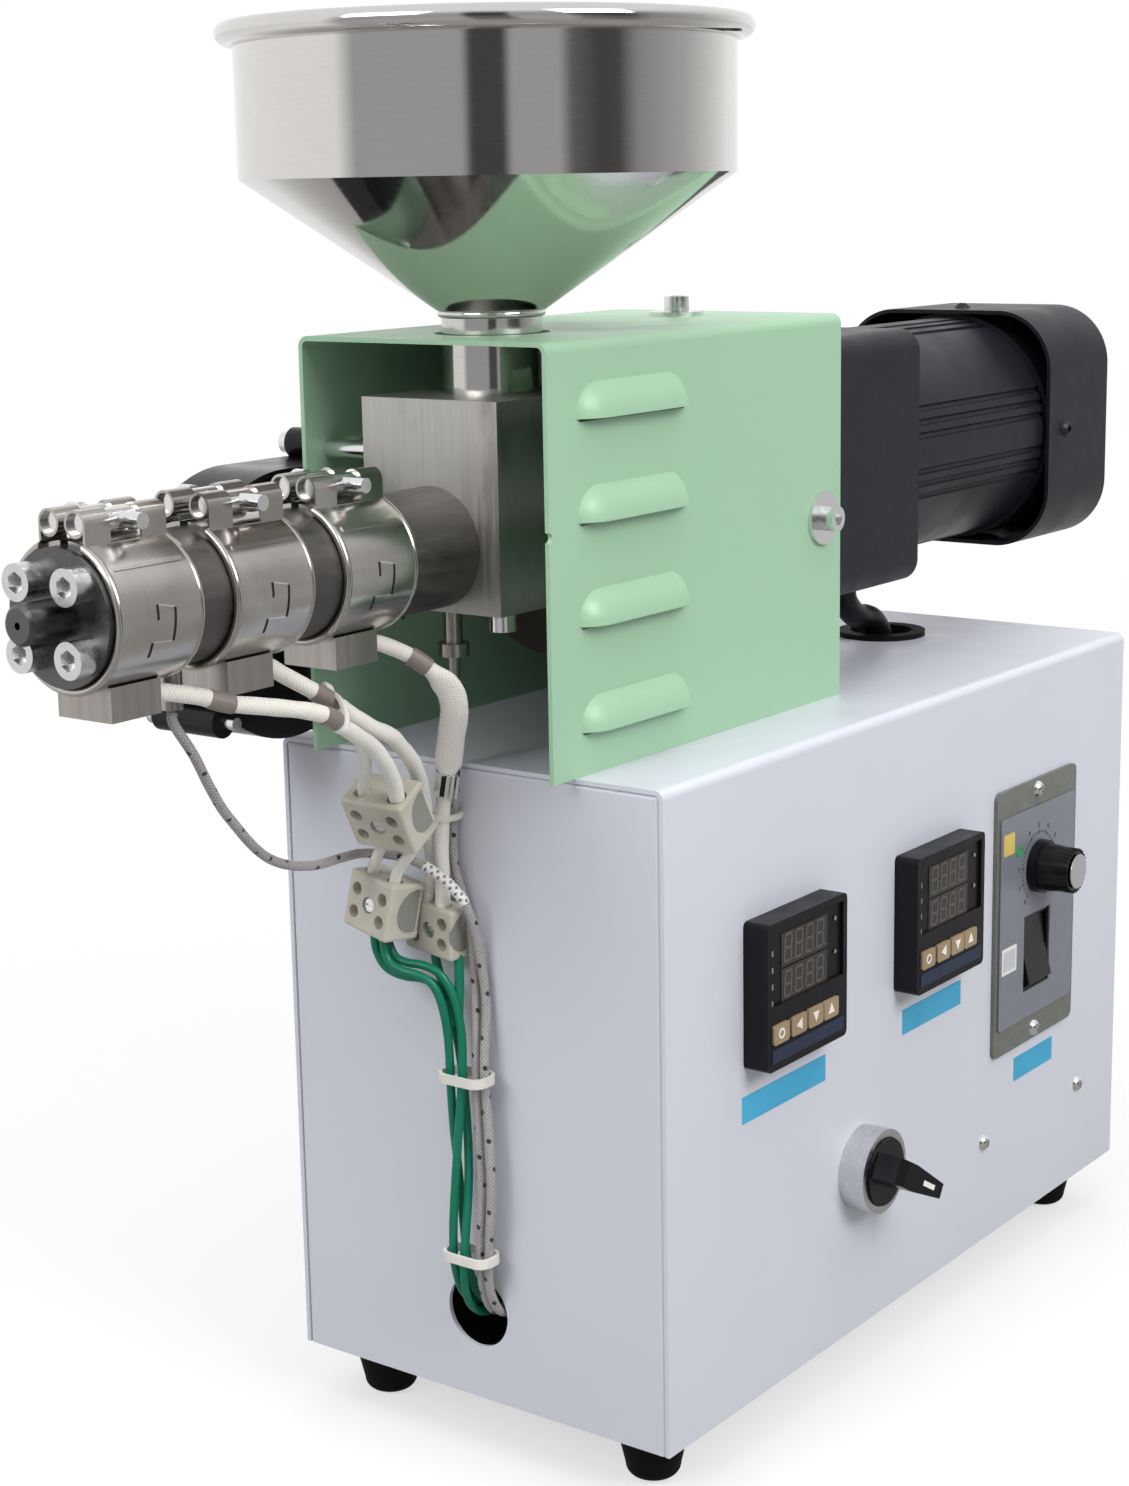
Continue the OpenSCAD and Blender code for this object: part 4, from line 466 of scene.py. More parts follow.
def panel_rect(x0, x1, z0, z1, y, r=0.0, n=4):
    """outline on a plane of constant y, with round corners"""
    if r <= 0:
        return [mm(x0, y, z0), mm(x1, y, z0), mm(x1, y, z1), mm(x0, y, z1)]
    pts = []
    left, right, low, high = x0 + r, x1 - r, z0 + r, z1 - r
    for cx, cz, a0 in ((right, low, -90), (right, high, 0), (left, high, 90), (left, low, 180)):
        pts += polar(cx, cz, y, [(r, radians(a0 + 90 * i / n)) for i in range(n + 1)])
    return pts


def disc(cx, cz, y, r, n=24):
    return polar(cx, cz, y, [(r, i * 2 * pi / n) for i in range(n)])


# one layer of print on the control side
OUT = Vector((0, -0.00012, 0))


def catmull(pts, per):
    """a smooth curve through the points, with per steps between each two"""
    out = []
    p = [Vector(a) for a in pts]
    for i in range(len(p) - 1):
        p0 = p[i - 1] if i > 0 else p[i] * 2 - p[i + 1]
        p3 = p[i + 2] if i + 2 < len(p) else p[i + 1] * 2 - p[i]
        for k in range(per):
            t = k / per
            a, b = p[i], p[i + 1]
            out.append(0.5 * ((2 * a) + (b - p0) * t + (2 * p0 - 5 * a + 4 * b - p3) * t * t
                              + (3 * a - p0 - 3 * b + p3) * t ** 3))
    out.append(p[-1])
    return out


def tangents(path):
    ends = [path[0], *path, path[-1]]
    return [(b - a).normalized() for a, b in zip(ends, ends[2:])]


def sweep(path, ring_fn, n=16, aim=None):
    """verts, faces and tube coordinates of a closed tube; ring_fn(s, a) gives the offset in mm.
    With aim, the ring's first axis keeps to that direction."""
    tang = tangents(path)
    u = tang[0].cross(Vector((0, 1, 0)))
    u = (u if u.length > 0.1 else tang[0].cross(Vector((0, 0, 1)))).normalized()
    verts, uvs, s = [], [], 0.0
    for i, p in enumerate(path):
        if i:
            s += (p - path[i - 1]).length
            u = (u - tang[i] * u.dot(tang[i])).normalized()
        if aim is not None:
            u = (aim - tang[i] * aim.dot(tang[i])).normalized()
        v = tang[i].cross(u)
        for k in range(n):
            a = 2 * pi * k / n
            ru, rv = ring_fn(s * 1000, a)
            verts.append(p + (u * ru + v * rv) / 1000)
            uvs.append((k / n, s))
    faces = []
    for i in range(len(path) - 1):
        for k in range(n):
            a, b = i * n + k, i * n + (k + 1) % n
            faces.append((a, b, b + n, a + n))
    faces.append(tuple(reversed(range(n))))
    faces.append(tuple(range(len(verts) - n, len(verts))))
    return verts, faces, uvs


def round_ring(r, wob=0.0):
    """a ring of radius r that swells and shrinks by wob along the lead"""
    def f(s, a):
        rr = r * (1 + wob * sin(s * 0.5) * cos(2 * a + s * 0.13))
        return rr * cos(a), rr * sin(a)
    return f


def length_of(path):
    return sum((b - a).length for a, b in zip(path, path[1:]))


# -------- cords
# centrelines of the leads, in mm, fitted to the photograph
ROUTES = {
    "heater_lead_front": [
        (-132.7, 74, 275), (-129, 74, 275), (-117, 71, 272), (-109, 68, 269), (-100, 65, 267),
        (-92, 63, 265.2), (-84, 61, 263.2), (-77, 60, 260.5), (-71, 60.1, 256.5),
        (-62, 62.1, 251.5), (-54, 64.7, 247.3), (-46, 66.8, 240.5), (-39.5, 69.5, 233.5),
        (-35.6, 71.6, 227.5), (-34, 72.3, 224.9)],
    "heater_lead_middle": [
        (-89.4, 74, 275), (-86, 74, 275), (-82, 72, 272), (-76, 68, 267.5), (-69, 66, 263),
        (-60, 66, 257), (-50, 67, 251.5), (-41, 68.5, 247.5), (-33, 71, 242), (-25, 74, 236),
        (-18, 77.5, 229), (-12.5, 80.5, 220.5), (-8.5, 82.6, 212), (-6, 83.3, 204),
        (-5.6, 83.4, 197), (-6.4, 84.4, 190.5), (-7.2, 85, 185.6)],
    "heater_lead_rear": [
        (-45.1, 74, 275), (-41, 74, 275), (-37, 73, 273.6), (-31, 69, 270), (-26, 64.8, 265),
        (-21, 62.3, 258.8), (-18.2, 62.8, 253), (-16, 65, 248), (-13.3, 68.3, 242),
        (-11, 71.3, 235.2), (-9, 74.1, 228.2), (-7.7, 76.7, 219.5), (-7, 78.2, 211),
        (-7, 78.7, 203), (-7.4, 78.2, 193), (-7.9, 77.9, 184.9)],
    "barrel_sensor_lead": [
        (-119, 79, 267.8), (-119, 79, 264), (-112, 79, 254), (-104, 82, 244), (-96, 85, 235),
        (-88, 88, 228), (-77, 92, 219), (-66, 96, 212), (-56, 97, 207.5), (-45, 97, 205),
        (-33, 96.6, 204.8), (-24, 96, 204.3), (-17.5, 90, 203.2), (-14.8, 83, 201.6),
        (-13, 77.5, 198.8), (-11.3, 73, 195.4), (-9, 69.6, 190.5), (-6.8, 68.1, 185),
        (-4.8, 67.4, 178), (-3.5, 66.9, 169), (-3, 65.6, 155), (-6, 64.6, 135), (-6.5, 63, 115),
        (-7, 62.2, 95), (-7, 63.5, 78), (-5.5, 65.2, 62), (0, 65.4, 51.5), (9, 65.4, 49)],
    "feed_sensor_lead": [
        (2, 79, 253.9), (2, 79, 249), (0.5, 77.5, 243.5), (-2.2, 75.2, 237.5), (-2.8, 75.3, 230.5),
        (-2.6, 76.1, 222.5), (-2.5, 77.1, 213), (-2.6, 77.4, 203.5), (-2.6, 76.8, 197),
        (-2.5, 75, 191.5), (-2.3, 73, 185.5), (-2.2, 71.6, 178.3), (-2.2, 70.8, 168.6),
        (-3.2, 69.6, 155), (-5.5, 68.2, 135), (-6.3, 67.2, 115), (-6.6, 66.4, 95),
        (-6.6, 67.4, 78), (-5, 68.4, 62), (0, 68.6, 51.5), (9, 68.6, 49)],
    "control_wires": [
        (-17, 95.4, 178.5), (-17, 95, 172.5), (-16.6, 92.6, 168), (-15.4, 88, 166),
        (-13.8, 82.8, 165.4), (-12.2, 78.8, 163.4), (-10.8, 76.3, 159), (-9.4, 74.7, 152),
        (-8.4, 73.9, 144), (-8, 73.6, 135), (-8, 73.5, 126), (-8, 73.5, 114), (-8, 73.5, 102),
        (-8, 73.8, 90), (-8, 74.2, 78), (-7.5, 74.4, 67), (-4.5, 74.4, 57), (2, 74.4, 51),
        (10, 74.4, 49)],
    "motor_lead": [
        (236, 79, 264.4), (236, 79, 256), (239, 79, 247), (247, 79, 241), (256, 79, 239),
        (263, 79, 234), (266, 79, 226), (266, 79, 214)],
    # short pieces between the connectors, not leads of their own
    "block_jumper_1": [
        (-24.9, 85, 213.6), (-24, 88, 208), (-20.5, 94.5, 200.5), (-17.9, 97.8, 195)],
    "block_jumper_2": [
        (-24.1, 74.5, 213.4), (-23.2, 77, 207.5), (-20.9, 84.5, 200), (-19.3, 88, 193.6)],
    "front_lead_second_wire": [
        (-62, 61.6, 251), (-58, 65.3, 248), (-50, 71, 241.7), (-43, 77.4, 235.1),
        (-37.5, 83, 229.4), (-35, 84.8, 225.4)],
    "connector_wire_1": [
        (-5.4, 84, 171), (-6, 82.6, 166), (-7.2, 79.6, 161), (-8, 76.6, 155), (-8.2, 74.6, 148)],
    "connector_wire_2": [
        (-5.8, 74.2, 171), (-6.6, 73.2, 164.6), (-7.2, 73.1, 156.5), (-7.6, 73.3, 148.3)],
}


# the leads' curves, in metres, by name
PATH = {}

# a level line across the photograph's view
VIEW_RIGHT = Vector((0.5978, -0.8016, 0))


def lead_curve(name):
    return catmull([mm(*p) for p in ROUTES[name]], 6)


def stand_for(o, name, path):
    """hides the CAD's plain lead of that name and keeps the path under that name; o, the tube, is not used"""
    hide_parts(name)
    PATH[name] = path


def tube(name, path, ring, n, mat, aim=None):
    v, f, uv = sweep(path, ring, n, aim)
    return new_obj(name, v, f, mat, smooth=True, uvs=uv)


def sleeve(name, mat, ring, n=16, aim=None):
    """one round or flat lead"""
    path = lead_curve(name)
    stand_for(tube(name + "_tube", path, ring, n, mat, aim), name, path)


sleeve("heater_lead_front", "glass_sleeve", round_ring(2.45, 0.04))
sleeve("heater_lead_middle", "glass_sleeve", round_ring(2.45, 0.04))


def flat_ring(start, end, wide, thin, r):
    """round at both ends, flat between start and end, with a crease down the middle"""
    def f(s, a):
        t = max(0.0, min(1.0, (s - start) / 7, (end - s) / 5))
        t = t * t * (3 - 2 * t)
        w, h = r + (wide - r) * t, r + (thin - r) * t
        fold = 1 - 0.03 * t * exp(-((abs(s - (start + end) / 2) - 6) / 3) ** 2)
        return w * fold * cos(a), h * sin(a)
    return f


sleeve("heater_lead_rear", "glass_sleeve", flat_ring(24, 68, 4.3, 1.8, 2.4), aim=VIEW_RIGHT)


def short_piece(name, r, mat):
    tube(name, lead_curve(name), round_ring(r), 14, mat)


short_piece("block_jumper_1", 1.75, "glass_sleeve")
short_piece("block_jumper_2", 1.75, "glass_sleeve")
short_piece("front_lead_second_wire", 1.9, "glass_sleeve")
short_piece("connector_wire_1", 1.5, "wire_green")
short_piece("connector_wire_2", 1.5, "wire_green")
sleeve("barrel_sensor_lead", "braid_grey", round_ring(1.48), n=12)
sleeve("feed_sensor_lead", "braid_grey", round_ring(1.48), n=12)
sleeve("motor_lead", "black_plastic", round_ring(4.9, 0.03))


def strands(name, mat, count, r_strand, r_lay, pitch):
    """a loose bundle: several wires laid round one centreline"""
    path = lead_curve(name)
    tang = tangents(path)
    u = tang[0].cross(Vector((0, 1, 0))).normalized()
    lines = [[] for _ in range(count)]
    s = 0.0
    for i, p in enumerate(path):
        if i:
            s += (p - path[i - 1]).length
            u = (u - tang[i] * u.dot(tang[i])).normalized()
        v = tang[i].cross(u)
        for k in range(count):
            a = 2 * pi * (k / count + s * 1000 / pitch)
            lines[k].append(p + (u * cos(a) + v * sin(a)) * r_lay / 1000)
    verts, faces, uvs = [], [], []
    for line in lines:
        a, b, c = sweep(line, round_ring(r_strand), 10)
        faces += [tuple(i + len(verts) for i in f) for f in b]
        verts += a
        uvs += c
    stand_for(new_obj(name + "_bundle", verts, faces, mat, smooth=True, uvs=uvs), name, path)


strands("control_wires", "wire_green", 3, 1.4, 2.5, 170)


# -------- control panel details
CONTROLLER_X, CONTROLLER_Z = (67.0, 161.7), ROOF - 74
CONTROLLER_FACE = -9.0
# the dark window is let into the face, and the keys stand out of it
WINDOW_FACE, KEY_FACE = CONTROLLER_FACE + 1.0, CONTROLLER_FACE - 0.6
# all below is measured from the face's middle: two windows, each with a row of digits
WINDOW_SIDES, WINDOW_LOWS, WINDOW_HEIGHT = (-14.8, 12.8), (8.4, -3.2), 10.9
# segments of a digit, from and to, as shares of its width and height
SEGMENTS = ((0, 1, 1, 1), (1, 1, 1, 0.5), (1, 0.5, 1, 0), (0, 0, 1, 0), (0, 0.5, 0, 0), (0, 1, 0, 0.5),
            (0, 0.5, 1, 0.5))
DIGIT_START, DIGIT_WIDTH, DIGIT_LEAN, DIGIT_PITCH = -13.2, 3.9, 0.5, 6.4
DIGIT_ROWS = ((9.8, 8.6), (-1.6, 8.0))
SEGMENT_WIDTH, POINT_GAP, POINT_R = 0.75, 1.1, 0.4
# four lamps down the left side, two dots at the right, and the blue strip under the keys
LAMP_SIDES, LAMP_TOP, LAMP_PITCH, LAMP_HEIGHT = (-20.9, -19.7), 15.0, 5.4, 1.8
DOT_X, DOT_HEIGHTS, DOT_R = 17.6, (16.6, 5.6), 0.75
STRIP = (-21.6, 21.6, -21.4, -16.9)
# the keys' middles and their symbols' corners; the first key has a ring
KEYS = {
    "set": (-16.7, None),
    "left": (-6.1, ((-1.8, 0), (1.5, -1.9), (1.5, 1.9))),
    "down": (3.9, ((0, -1.9), (1.8, 1.5), (-1.8, 1.5))),
    "up": (13.4, ((0, 1.9), (-1.8, -1.5), (1.8, -1.5))),
}
KEY_HEIGHT, RING_INNER, RING_OUTER = -12.2, 1.1, 1.75
KEY_GAPS, GAP_LOW, GAP_TOP = (-11.4, -1.1, 8.65), -15.2, -9.2


def bar(x0, z0, x1, z1, w, y):
    """outline of a segment with pointed ends"""
    d = Vector((x1 - x0, 0, z1 - z0)).normalized()
    s = Vector((-d.z, 0, d.x)) * w / 2
    e = d * w / 2
    a, b = Vector((x0, 0, z0)) + e, Vector((x1, 0, z1)) - e
    pts = [a - e * 0.8, a + s, b + s, b + e * 0.8, b - s, a - s]
    return [mm(p.x, y, p.z) for p in pts]


def controller_details(i):
    x, z = CONTROLLER_X[i], CONTROLLER_Z
    tag = "controller_%d_" % (i + 1)

    def rect(x0, x1, z0, z1, y, r=0.0):
        return panel_rect(x + x0, x + x1, z + z0, z + z1, y, r)

    windows = [(rect(*WINDOW_SIDES, low, low + WINDOW_HEIGHT, WINDOW_FACE, 0.3), OUT * 2)
               for low in WINDOW_LOWS]
    digits, lit = [], WINDOW_FACE - 0.24
    for base, h in DIGIT_ROWS:
        for d in range(4):
            x0, z0 = x + DIGIT_START + d * DIGIT_PITCH, z + base
            for xa, za, xb, zb in SEGMENTS:
                a = (x0 + xa * DIGIT_WIDTH + DIGIT_LEAN * za, z0 + za * h)
                b = (x0 + xb * DIGIT_WIDTH + DIGIT_LEAN * zb, z0 + zb * h)
                digits.append((bar(*a, *b, SEGMENT_WIDTH, lit), OUT))
            digits.append((disc(x0 + DIGIT_WIDTH + POINT_GAP, z0, lit, POINT_R, 8), OUT))
    tops = [LAMP_TOP - k * LAMP_PITCH for k in range(4)]
    marks = [(rect(*LAMP_SIDES, top - LAMP_HEIGHT, top, WINDOW_FACE - 0.05), OUT * 2) for top in tops]
    marks += [(disc(x + DOT_X, z + up, WINDOW_FACE - 0.3, DOT_R, 12), OUT) for up in DOT_HEIGHTS]
    strip = [(rect(*STRIP, CONTROLLER_FACE, 0.4), OUT * 2)]
    for part, polys, mat in (("display", windows, "display_dark"), ("digits", digits, "segment_off"),
                             ("marks", marks, "legend_dim"), ("strip", strip, "strip_blue")):
        solid(tag + part, polys, mat)
    for gap_x in KEY_GAPS:
        gap = rect(gap_x - 0.35, gap_x + 0.35, GAP_LOW, GAP_TOP, CONTROLLER_FACE + 0.1)
        solid(tag + "key_gap_%d" % (gap_x * 10 + 200), [(gap, OUT)], "button_tan")
    # the key symbols ride on their keys
    for name, (along, corners) in KEYS.items():
        cx, cz = x + along, z + KEY_HEIGHT
        if corners:
            polys = [([mm(cx + u, KEY_FACE, cz + w) for u, w in corners], OUT)]
        else:
            polys = []
            for k in range(20):
                a0, a1 = k * pi / 10, (k + 1) * pi / 10
                spots = ((RING_INNER, a0), (RING_OUTER, a0), (RING_OUTER, a1), (RING_INNER, a1))
                polys.append((polar(cx, cz, KEY_FACE, spots), OUT))
        key = "%s_button_%d" % (name, i + 1)
        solid(key + "_sign", polys, "legend_white", body=key + "_body")


controller_details(0)
controller_details(1)

# blue labels, left bare: left, right, low and high
BLUE_LABELS = ((42, 92.5, 115, 124), (144, 186, 116, 125), (229, 260.5, 74, 83))
for k, sides in enumerate(BLUE_LABELS):
    solid("blue_label_%d" % (k + 1), [(panel_rect(*sides, 0, 0.3), OUT * 1.5)], "label_blue")


# middle of the speed controller's plate, its label's face, and the dial and rocker above and below the middle
SPEED_X, SPEED_Z, LABEL_FACE = 241.6, 138.0, -2.2
DIAL_Z, ROCKER_Z = SPEED_Z + 17, SPEED_Z - 15
DIAL_START, DIAL_SWEEP = 230, 280
# the dial's marks, from and to and half width, and its numbers' spread and size
LONG_TICK, SHORT_TICK = (12.0, 13.6, 0.32), (12.4, 13.3, 0.18)
NUMBERS_X, NUMBERS_Z, NUMBER_SIZE = 16, 15.4, 2.6
# the knob's face, as in the CAD, its radius, its cap's, where its ribs begin, and their number and half width
KNOB_FACE, KNOB_R, CAP_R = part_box("speed_knob")[0][1] * 1000 + MID_Y, 8.0, 6.4
KNOB_SKIRT, RIBS, RIB_WIDTH = -5.8, 30, 0.33


def spoke(r0, r1, w0, w1, a, y):
    """outline of a bar that points away from the dial's middle"""
    c, t = Vector((cos(a), 0, sin(a))), Vector((-sin(a), 0, cos(a)))
    pts = [c * r0 - t * w0, c * r1 - t * w1, c * r1 + t * w1, c * r0 + t * w0]
    return [mm(SPEED_X + p.x, y, DIAL_Z + p.z) for p in pts]


def label_patch(name, x0, x1, z0, z1, lift, r, mat):
    """a printed patch beside a control, measured along from the plate's middle"""
    outline = panel_rect(SPEED_X + x0, SPEED_X + x1, z0, z1, LABEL_FACE - lift, r)
    solid(name, [(outline, OUT)], mat)


def speed_details():
    x, y = SPEED_X, LABEL_FACE
    ticks = []
    for k in range(41):
        r0, r1, w = SHORT_TICK if k % 4 else LONG_TICK
        ticks.append((spoke(r0, r1, w, w, radians(DIAL_START - DIAL_SWEEP * k / 40), y), OUT))
    solid("speed_dial_ticks", ticks, "print_dark")
    for k in range(11):
        a = radians(DIAL_START - DIAL_SWEEP * k / 10)
        numeral("speed_dial_number_%d" % k, str(k), x + NUMBERS_X * cos(a),
                DIAL_Z + NUMBERS_Z * sin(a), y, NUMBER_SIZE)
    label_patch("speed_dial_yellow_patch", -28, -19.5, DIAL_Z + 9, DIAL_Z + 17, 0, 0.6, "sticker_yellow")
    solid("speed_dial_green_dot", [(disc(x - 15.5, DIAL_Z + 8.5, y, 2.3), OUT * 1.2)], "mark_green")
    label_patch("speed_switch_patch", -28, -16.5, ROCKER_Z - 4, ROCKER_Z + 6, 0, 0.4, "legend_white")
    label_patch("speed_switch_patch_inner", -26.8, -17.7, ROCKER_Z - 2.8, ROCKER_Z + 4.8, 0.12, 0.3,
                "label_pale")
    # silver cap let into the knob's face, and the ribs round the knob
    cap = disc(x, DIAL_Z, KNOB_FACE, CAP_R, 48)
    solid("speed_knob_cap", [(cap, Vector((0, -0.0005, 0)))], "turned_aluminium", body="speed_knob_body",
          bevel=0.15)
    length = Vector((0, (KNOB_FACE - KNOB_SKIRT + 0.4) / 1000, 0))
    turns = [2 * pi * k / RIBS for k in range(RIBS)]
    ribs = [(spoke(7.3, KNOB_R + 0.35, RIB_WIDTH, RIB_WIDTH * 0.6, a, KNOB_SKIRT), length) for a in turns]
    solid("speed_knob_ribs", ribs, "gloss_black", body="speed_knob_body")


def numeral(name, text, x, z, y, size):
    """a plain number printed on the label"""
    c = bpy.data.curves.new(name, "FONT")
    c.body = text
    c.size = size / 1000
    c.align_x = "CENTER"
    c.align_y = "CENTER"
    c.extrude = 0.00006
    o = linked(name, c)
    o.matrix_world = Matrix.Translation(mm(x, y - 0.07, z)) @ Matrix.Rotation(pi / 2, 4, "X")
    dep = bpy.context.evaluated_depsgraph_get()
    me = bpy.data.meshes.new_from_object(o.evaluated_get(dep))
    me.transform(o.matrix_world)
    bpy.data.objects.remove(o)
    me.materials.clear()
    placed(name, me, "print_dark", "frame")


speed_details()


# the lever's middle and its disc's height in front of the panel, its length and its turn
SELECTOR_X, SELECTOR_Z, SELECTOR_DISC = 115.8, 77.5, 10.5
SELECTOR_SPAN, SELECTOR_TURN = 24.0, radians(32)


def selector_details():
    """white line along the lever's ridge, turned with it"""
    rise = SELECTOR_SPAN - SELECTOR_DISC
    c, t = cos(SELECTOR_TURN), sin(SELECTOR_TURN)
    pts = []
    for u, w in ((5.0, -0.9), (11.5, -0.9), (11.5, 0.9), (5.0, 0.9)):
        share = 0.74 + 0.26 * (u + 0.2 * SELECTOR_SPAN) / (0.86 * SELECTOR_SPAN)
        level = -SELECTOR_DISC - share * rise - 0.02
        pts.append(mm(SELECTOR_X + u * c + w * t, level, SELECTOR_Z - u * t + w * c))
    solid("selector_pointer_line", [(pts, Vector((0, 0.0003, 0)))], "legend_white", body="selector_lever")


selector_details()


# -------- ceramic blocks
# radii of a block's wire holes, its screw's well and the screw, in metres, and the cuts' depths in mm
HOLE_R, WELL_R, SCREW_R = 0.0021, 0.0026, 0.0021
HOLE_DEPTH, WELL_DEPTH, TOP_DEPTH, RECESS_DEPTH = 3.2, 2.4, 2.2, 1.1
# where the holes, the top holes and the recess lie, as shares of half the block
HOLE_Y, HOLE_Z, TOP_X, RECESS_X = 0.58, 0.4, -0.28, 0.55
BOX_FACES = ((0, 1, 3, 2), (4, 6, 7, 5), (0, 4, 5, 1), (2, 3, 7, 6), (0, 2, 6, 4), (1, 5, 7, 3))


def box_corners(p, axes, xs, ys, zs):
    """the corners of a box at p, whose sides lie at xs, ys and zs along the axes, in mm"""
    u, v, w = axes
    return [p + (u * x + v * y + w * z) / 1000 for x in xs for y in ys for z in zs]


def cut_with(obj, cutters):
    """the object without the cutters, which are then removed"""
    for c in cutters:
        md = obj.modifiers.new("cut", "BOOLEAN")
        md.operation = "DIFFERENCE"
        md.solver = "EXACT"
        md.object = c
    dep = bpy.context.evaluated_depsgraph_get()
    me = bpy.data.meshes.new_from_object(obj.evaluated_get(dep))
    obj.modifiers.clear()
    obj.data = me
    for c in cutters:
        bpy.data.objects.remove(c)


def cyl(a, b, r, n=28, name="cutter"):
    """a cylinder from a to b, in metres"""
    bm = bmesh.new()
    d = b - a
    bmesh.ops.create_cone(bm, cap_ends=True, segments=n, radius1=r, radius2=r, depth=d.length)
    bm.transform(Matrix.Translation((a + b) / 2) @ d.to_track_quat("Z", "Y").to_matrix().to_4x4())
    return placed(name, baked(name, bm))


def ceramic_piece(k, centre, size, turn, roll, pitch, tops):
    """a connector block with holes, screw and side recess; tops are the top holes' place and radius"""
    m = (Matrix.Translation(mm(*centre)) @ Matrix.Rotation(radians(turn), 4, "Z")
         @ Matrix.Rotation(radians(roll), 4, "X") @ Matrix.Rotation(radians(pitch), 4, "Y"))
    X, Y, Z = (v / 2 for v in size)

    def w(x, y, z):
        return m @ Vector((x / 1000, y / 1000, z / 1000))

    bm = bmesh.new()
    bmesh.ops.create_cube(bm, size=1)
    bm.transform(Matrix.Diagonal((*(v / 1000 for v in size), 1)))
    bmesh.ops.bevel(bm, geom=list(bm.edges), offset=0.0012, segments=4, affect="EDGES", profile=0.5)
    bm.transform(m)
    o = placed("ceramic_block_%d" % k, baked("ceramic", bm))
    # four wire holes and the screw's well in front, holes on top, a round recess in the side
    cuts = []
    for y in (-Y * HOLE_Y, Y * HOLE_Y):
        for z in (-Z * HOLE_Z, Z * HOLE_Z):
            cuts.append(cyl(w(-X - 1, y, z), w(-X + HOLE_DEPTH, y, z), HOLE_R))
    cuts.append(cyl(w(-X - 1, 0, 0), w(-X + WELL_DEPTH, 0, 0), WELL_R))
    for top, r in tops:
        cuts.append(cyl(w(X * TOP_X, top, Z - TOP_DEPTH), w(X * TOP_X, top, Z + 1), r))
    side, bottom = X * RECESS_X, -Y + RECESS_DEPTH
    cuts.append(cyl(w(side, -Y - 1, 0), w(side, bottom, 0), Z * 0.8 / 1000, 48))
    cut_with(o, cuts)
    o.data.materials.append(MATS["ceramic"])
    for p in o.data.polygons:
        p.use_smooth = False
    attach(o, "frame")
    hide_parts("terminal_blocks")
    # a dark disc of painted shade on the recess's floor, which is open at the block's edge
    r = Z * 0.76
    edge = acos((X - side - 1.0) / r)
    turns = [edge + (2 * pi - 2 * edge) * i / 24 for i in range(25)]
    pts = [w(side + r * cos(a), bottom - 0.05, r * sin(a)) for a in turns]
    solid("ceramic_block_%d_recess" % k, [(pts, w(0, 0.3, 0) - w(0, 0, 0))], "ceramic_shade")
    # the screw, with a slot cut across its head
    screw = cyl(w(-X + 2.45, 0, 0), w(-X + 0.7, 0, 0), SCREW_R, 32, "ceramic_block_%d_screw" % k)
    me = bpy.data.meshes.new("slot")
    corners = [w(x, y, z) for x in (-X + 0.2, -X + 1.2) for y in (-1.7, 1.7) for z in (-0.3, 0.3)]
    me.from_pydata(corners, [], BOX_FACES)
    cut_with(screw, [placed("slot", me)])
    screw.data.materials.append(MATS["chrome"])
    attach(screw, "frame")


ceramic_piece(1, (-29.6, 79.9, 220.4), (14, 22.6, 18.5), 4, 2, -29, ((-7.3, 0.0031), (5.5, 0.0027)))
ceramic_piece(2, (-17, 94, 187), (14, 20, 18.5), -8, 9, 6, ((-5, 0.0027), (5, 0.0027)))
ceramic_piece(3, (-6, 82, 178.8), (8.5, 20, 17), -4, 6, -4, ((-3.6, 0.0027), (3.6, 0.0027)))


def ring_on(name, lead, at, half, r, mat="crimp_grey"):
    """a short sleeve round a lead, at a share of its length"""
    path = PATH[lead]
    total, s = length_of(path), 0.0
    pts = []
    for p, q in zip(path, path[1:]):
        d = (q - p).length
        if at * total - half / 1000 <= s + d / 2 <= at * total + half / 1000:
            pts.append(p)
        s += d
    v, f, uv = sweep(pts, round_ring(r), 20)
    new_obj(name, v, f, mat, uvs=uv)


ring_on("heater_lead_front_crimp_1", "heater_lead_front", 0.21, 4.5, 2.75)
ring_on("heater_lead_front_crimp_2", "heater_lead_front", 0.53, 5, 2.75)
ring_on("heater_lead_middle_crimp", "heater_lead_middle", 0.175, 5, 2.75)
ring_on("heater_lead_rear_crimp", "heater_lead_rear", 0.185, 4.5, 2.9)
ring_on("barrel_sensor_bare_braid", "barrel_sensor_lead", 0.494, 9, 1.72, "bare_braid")


def point_on(path, at):
    """the point and the direction at a share of a lead's length"""
    total, s = length_of(path), 0.0
    for p, q in zip(path, path[1:]):
        d = (q - p).length
        if s + d >= at * total:
            return p.lerp(q, (at * total - s) / d), (q - p).normalized()
        s += d
    return path[-1], (path[-1] - path[-2]).normalized()


# a tie's band, and half the size of its head
TIE_WIDTH, TIE_THICK, TIE_HEAD = 1.8, 1.0, (1.2, 1.9, 1.7)


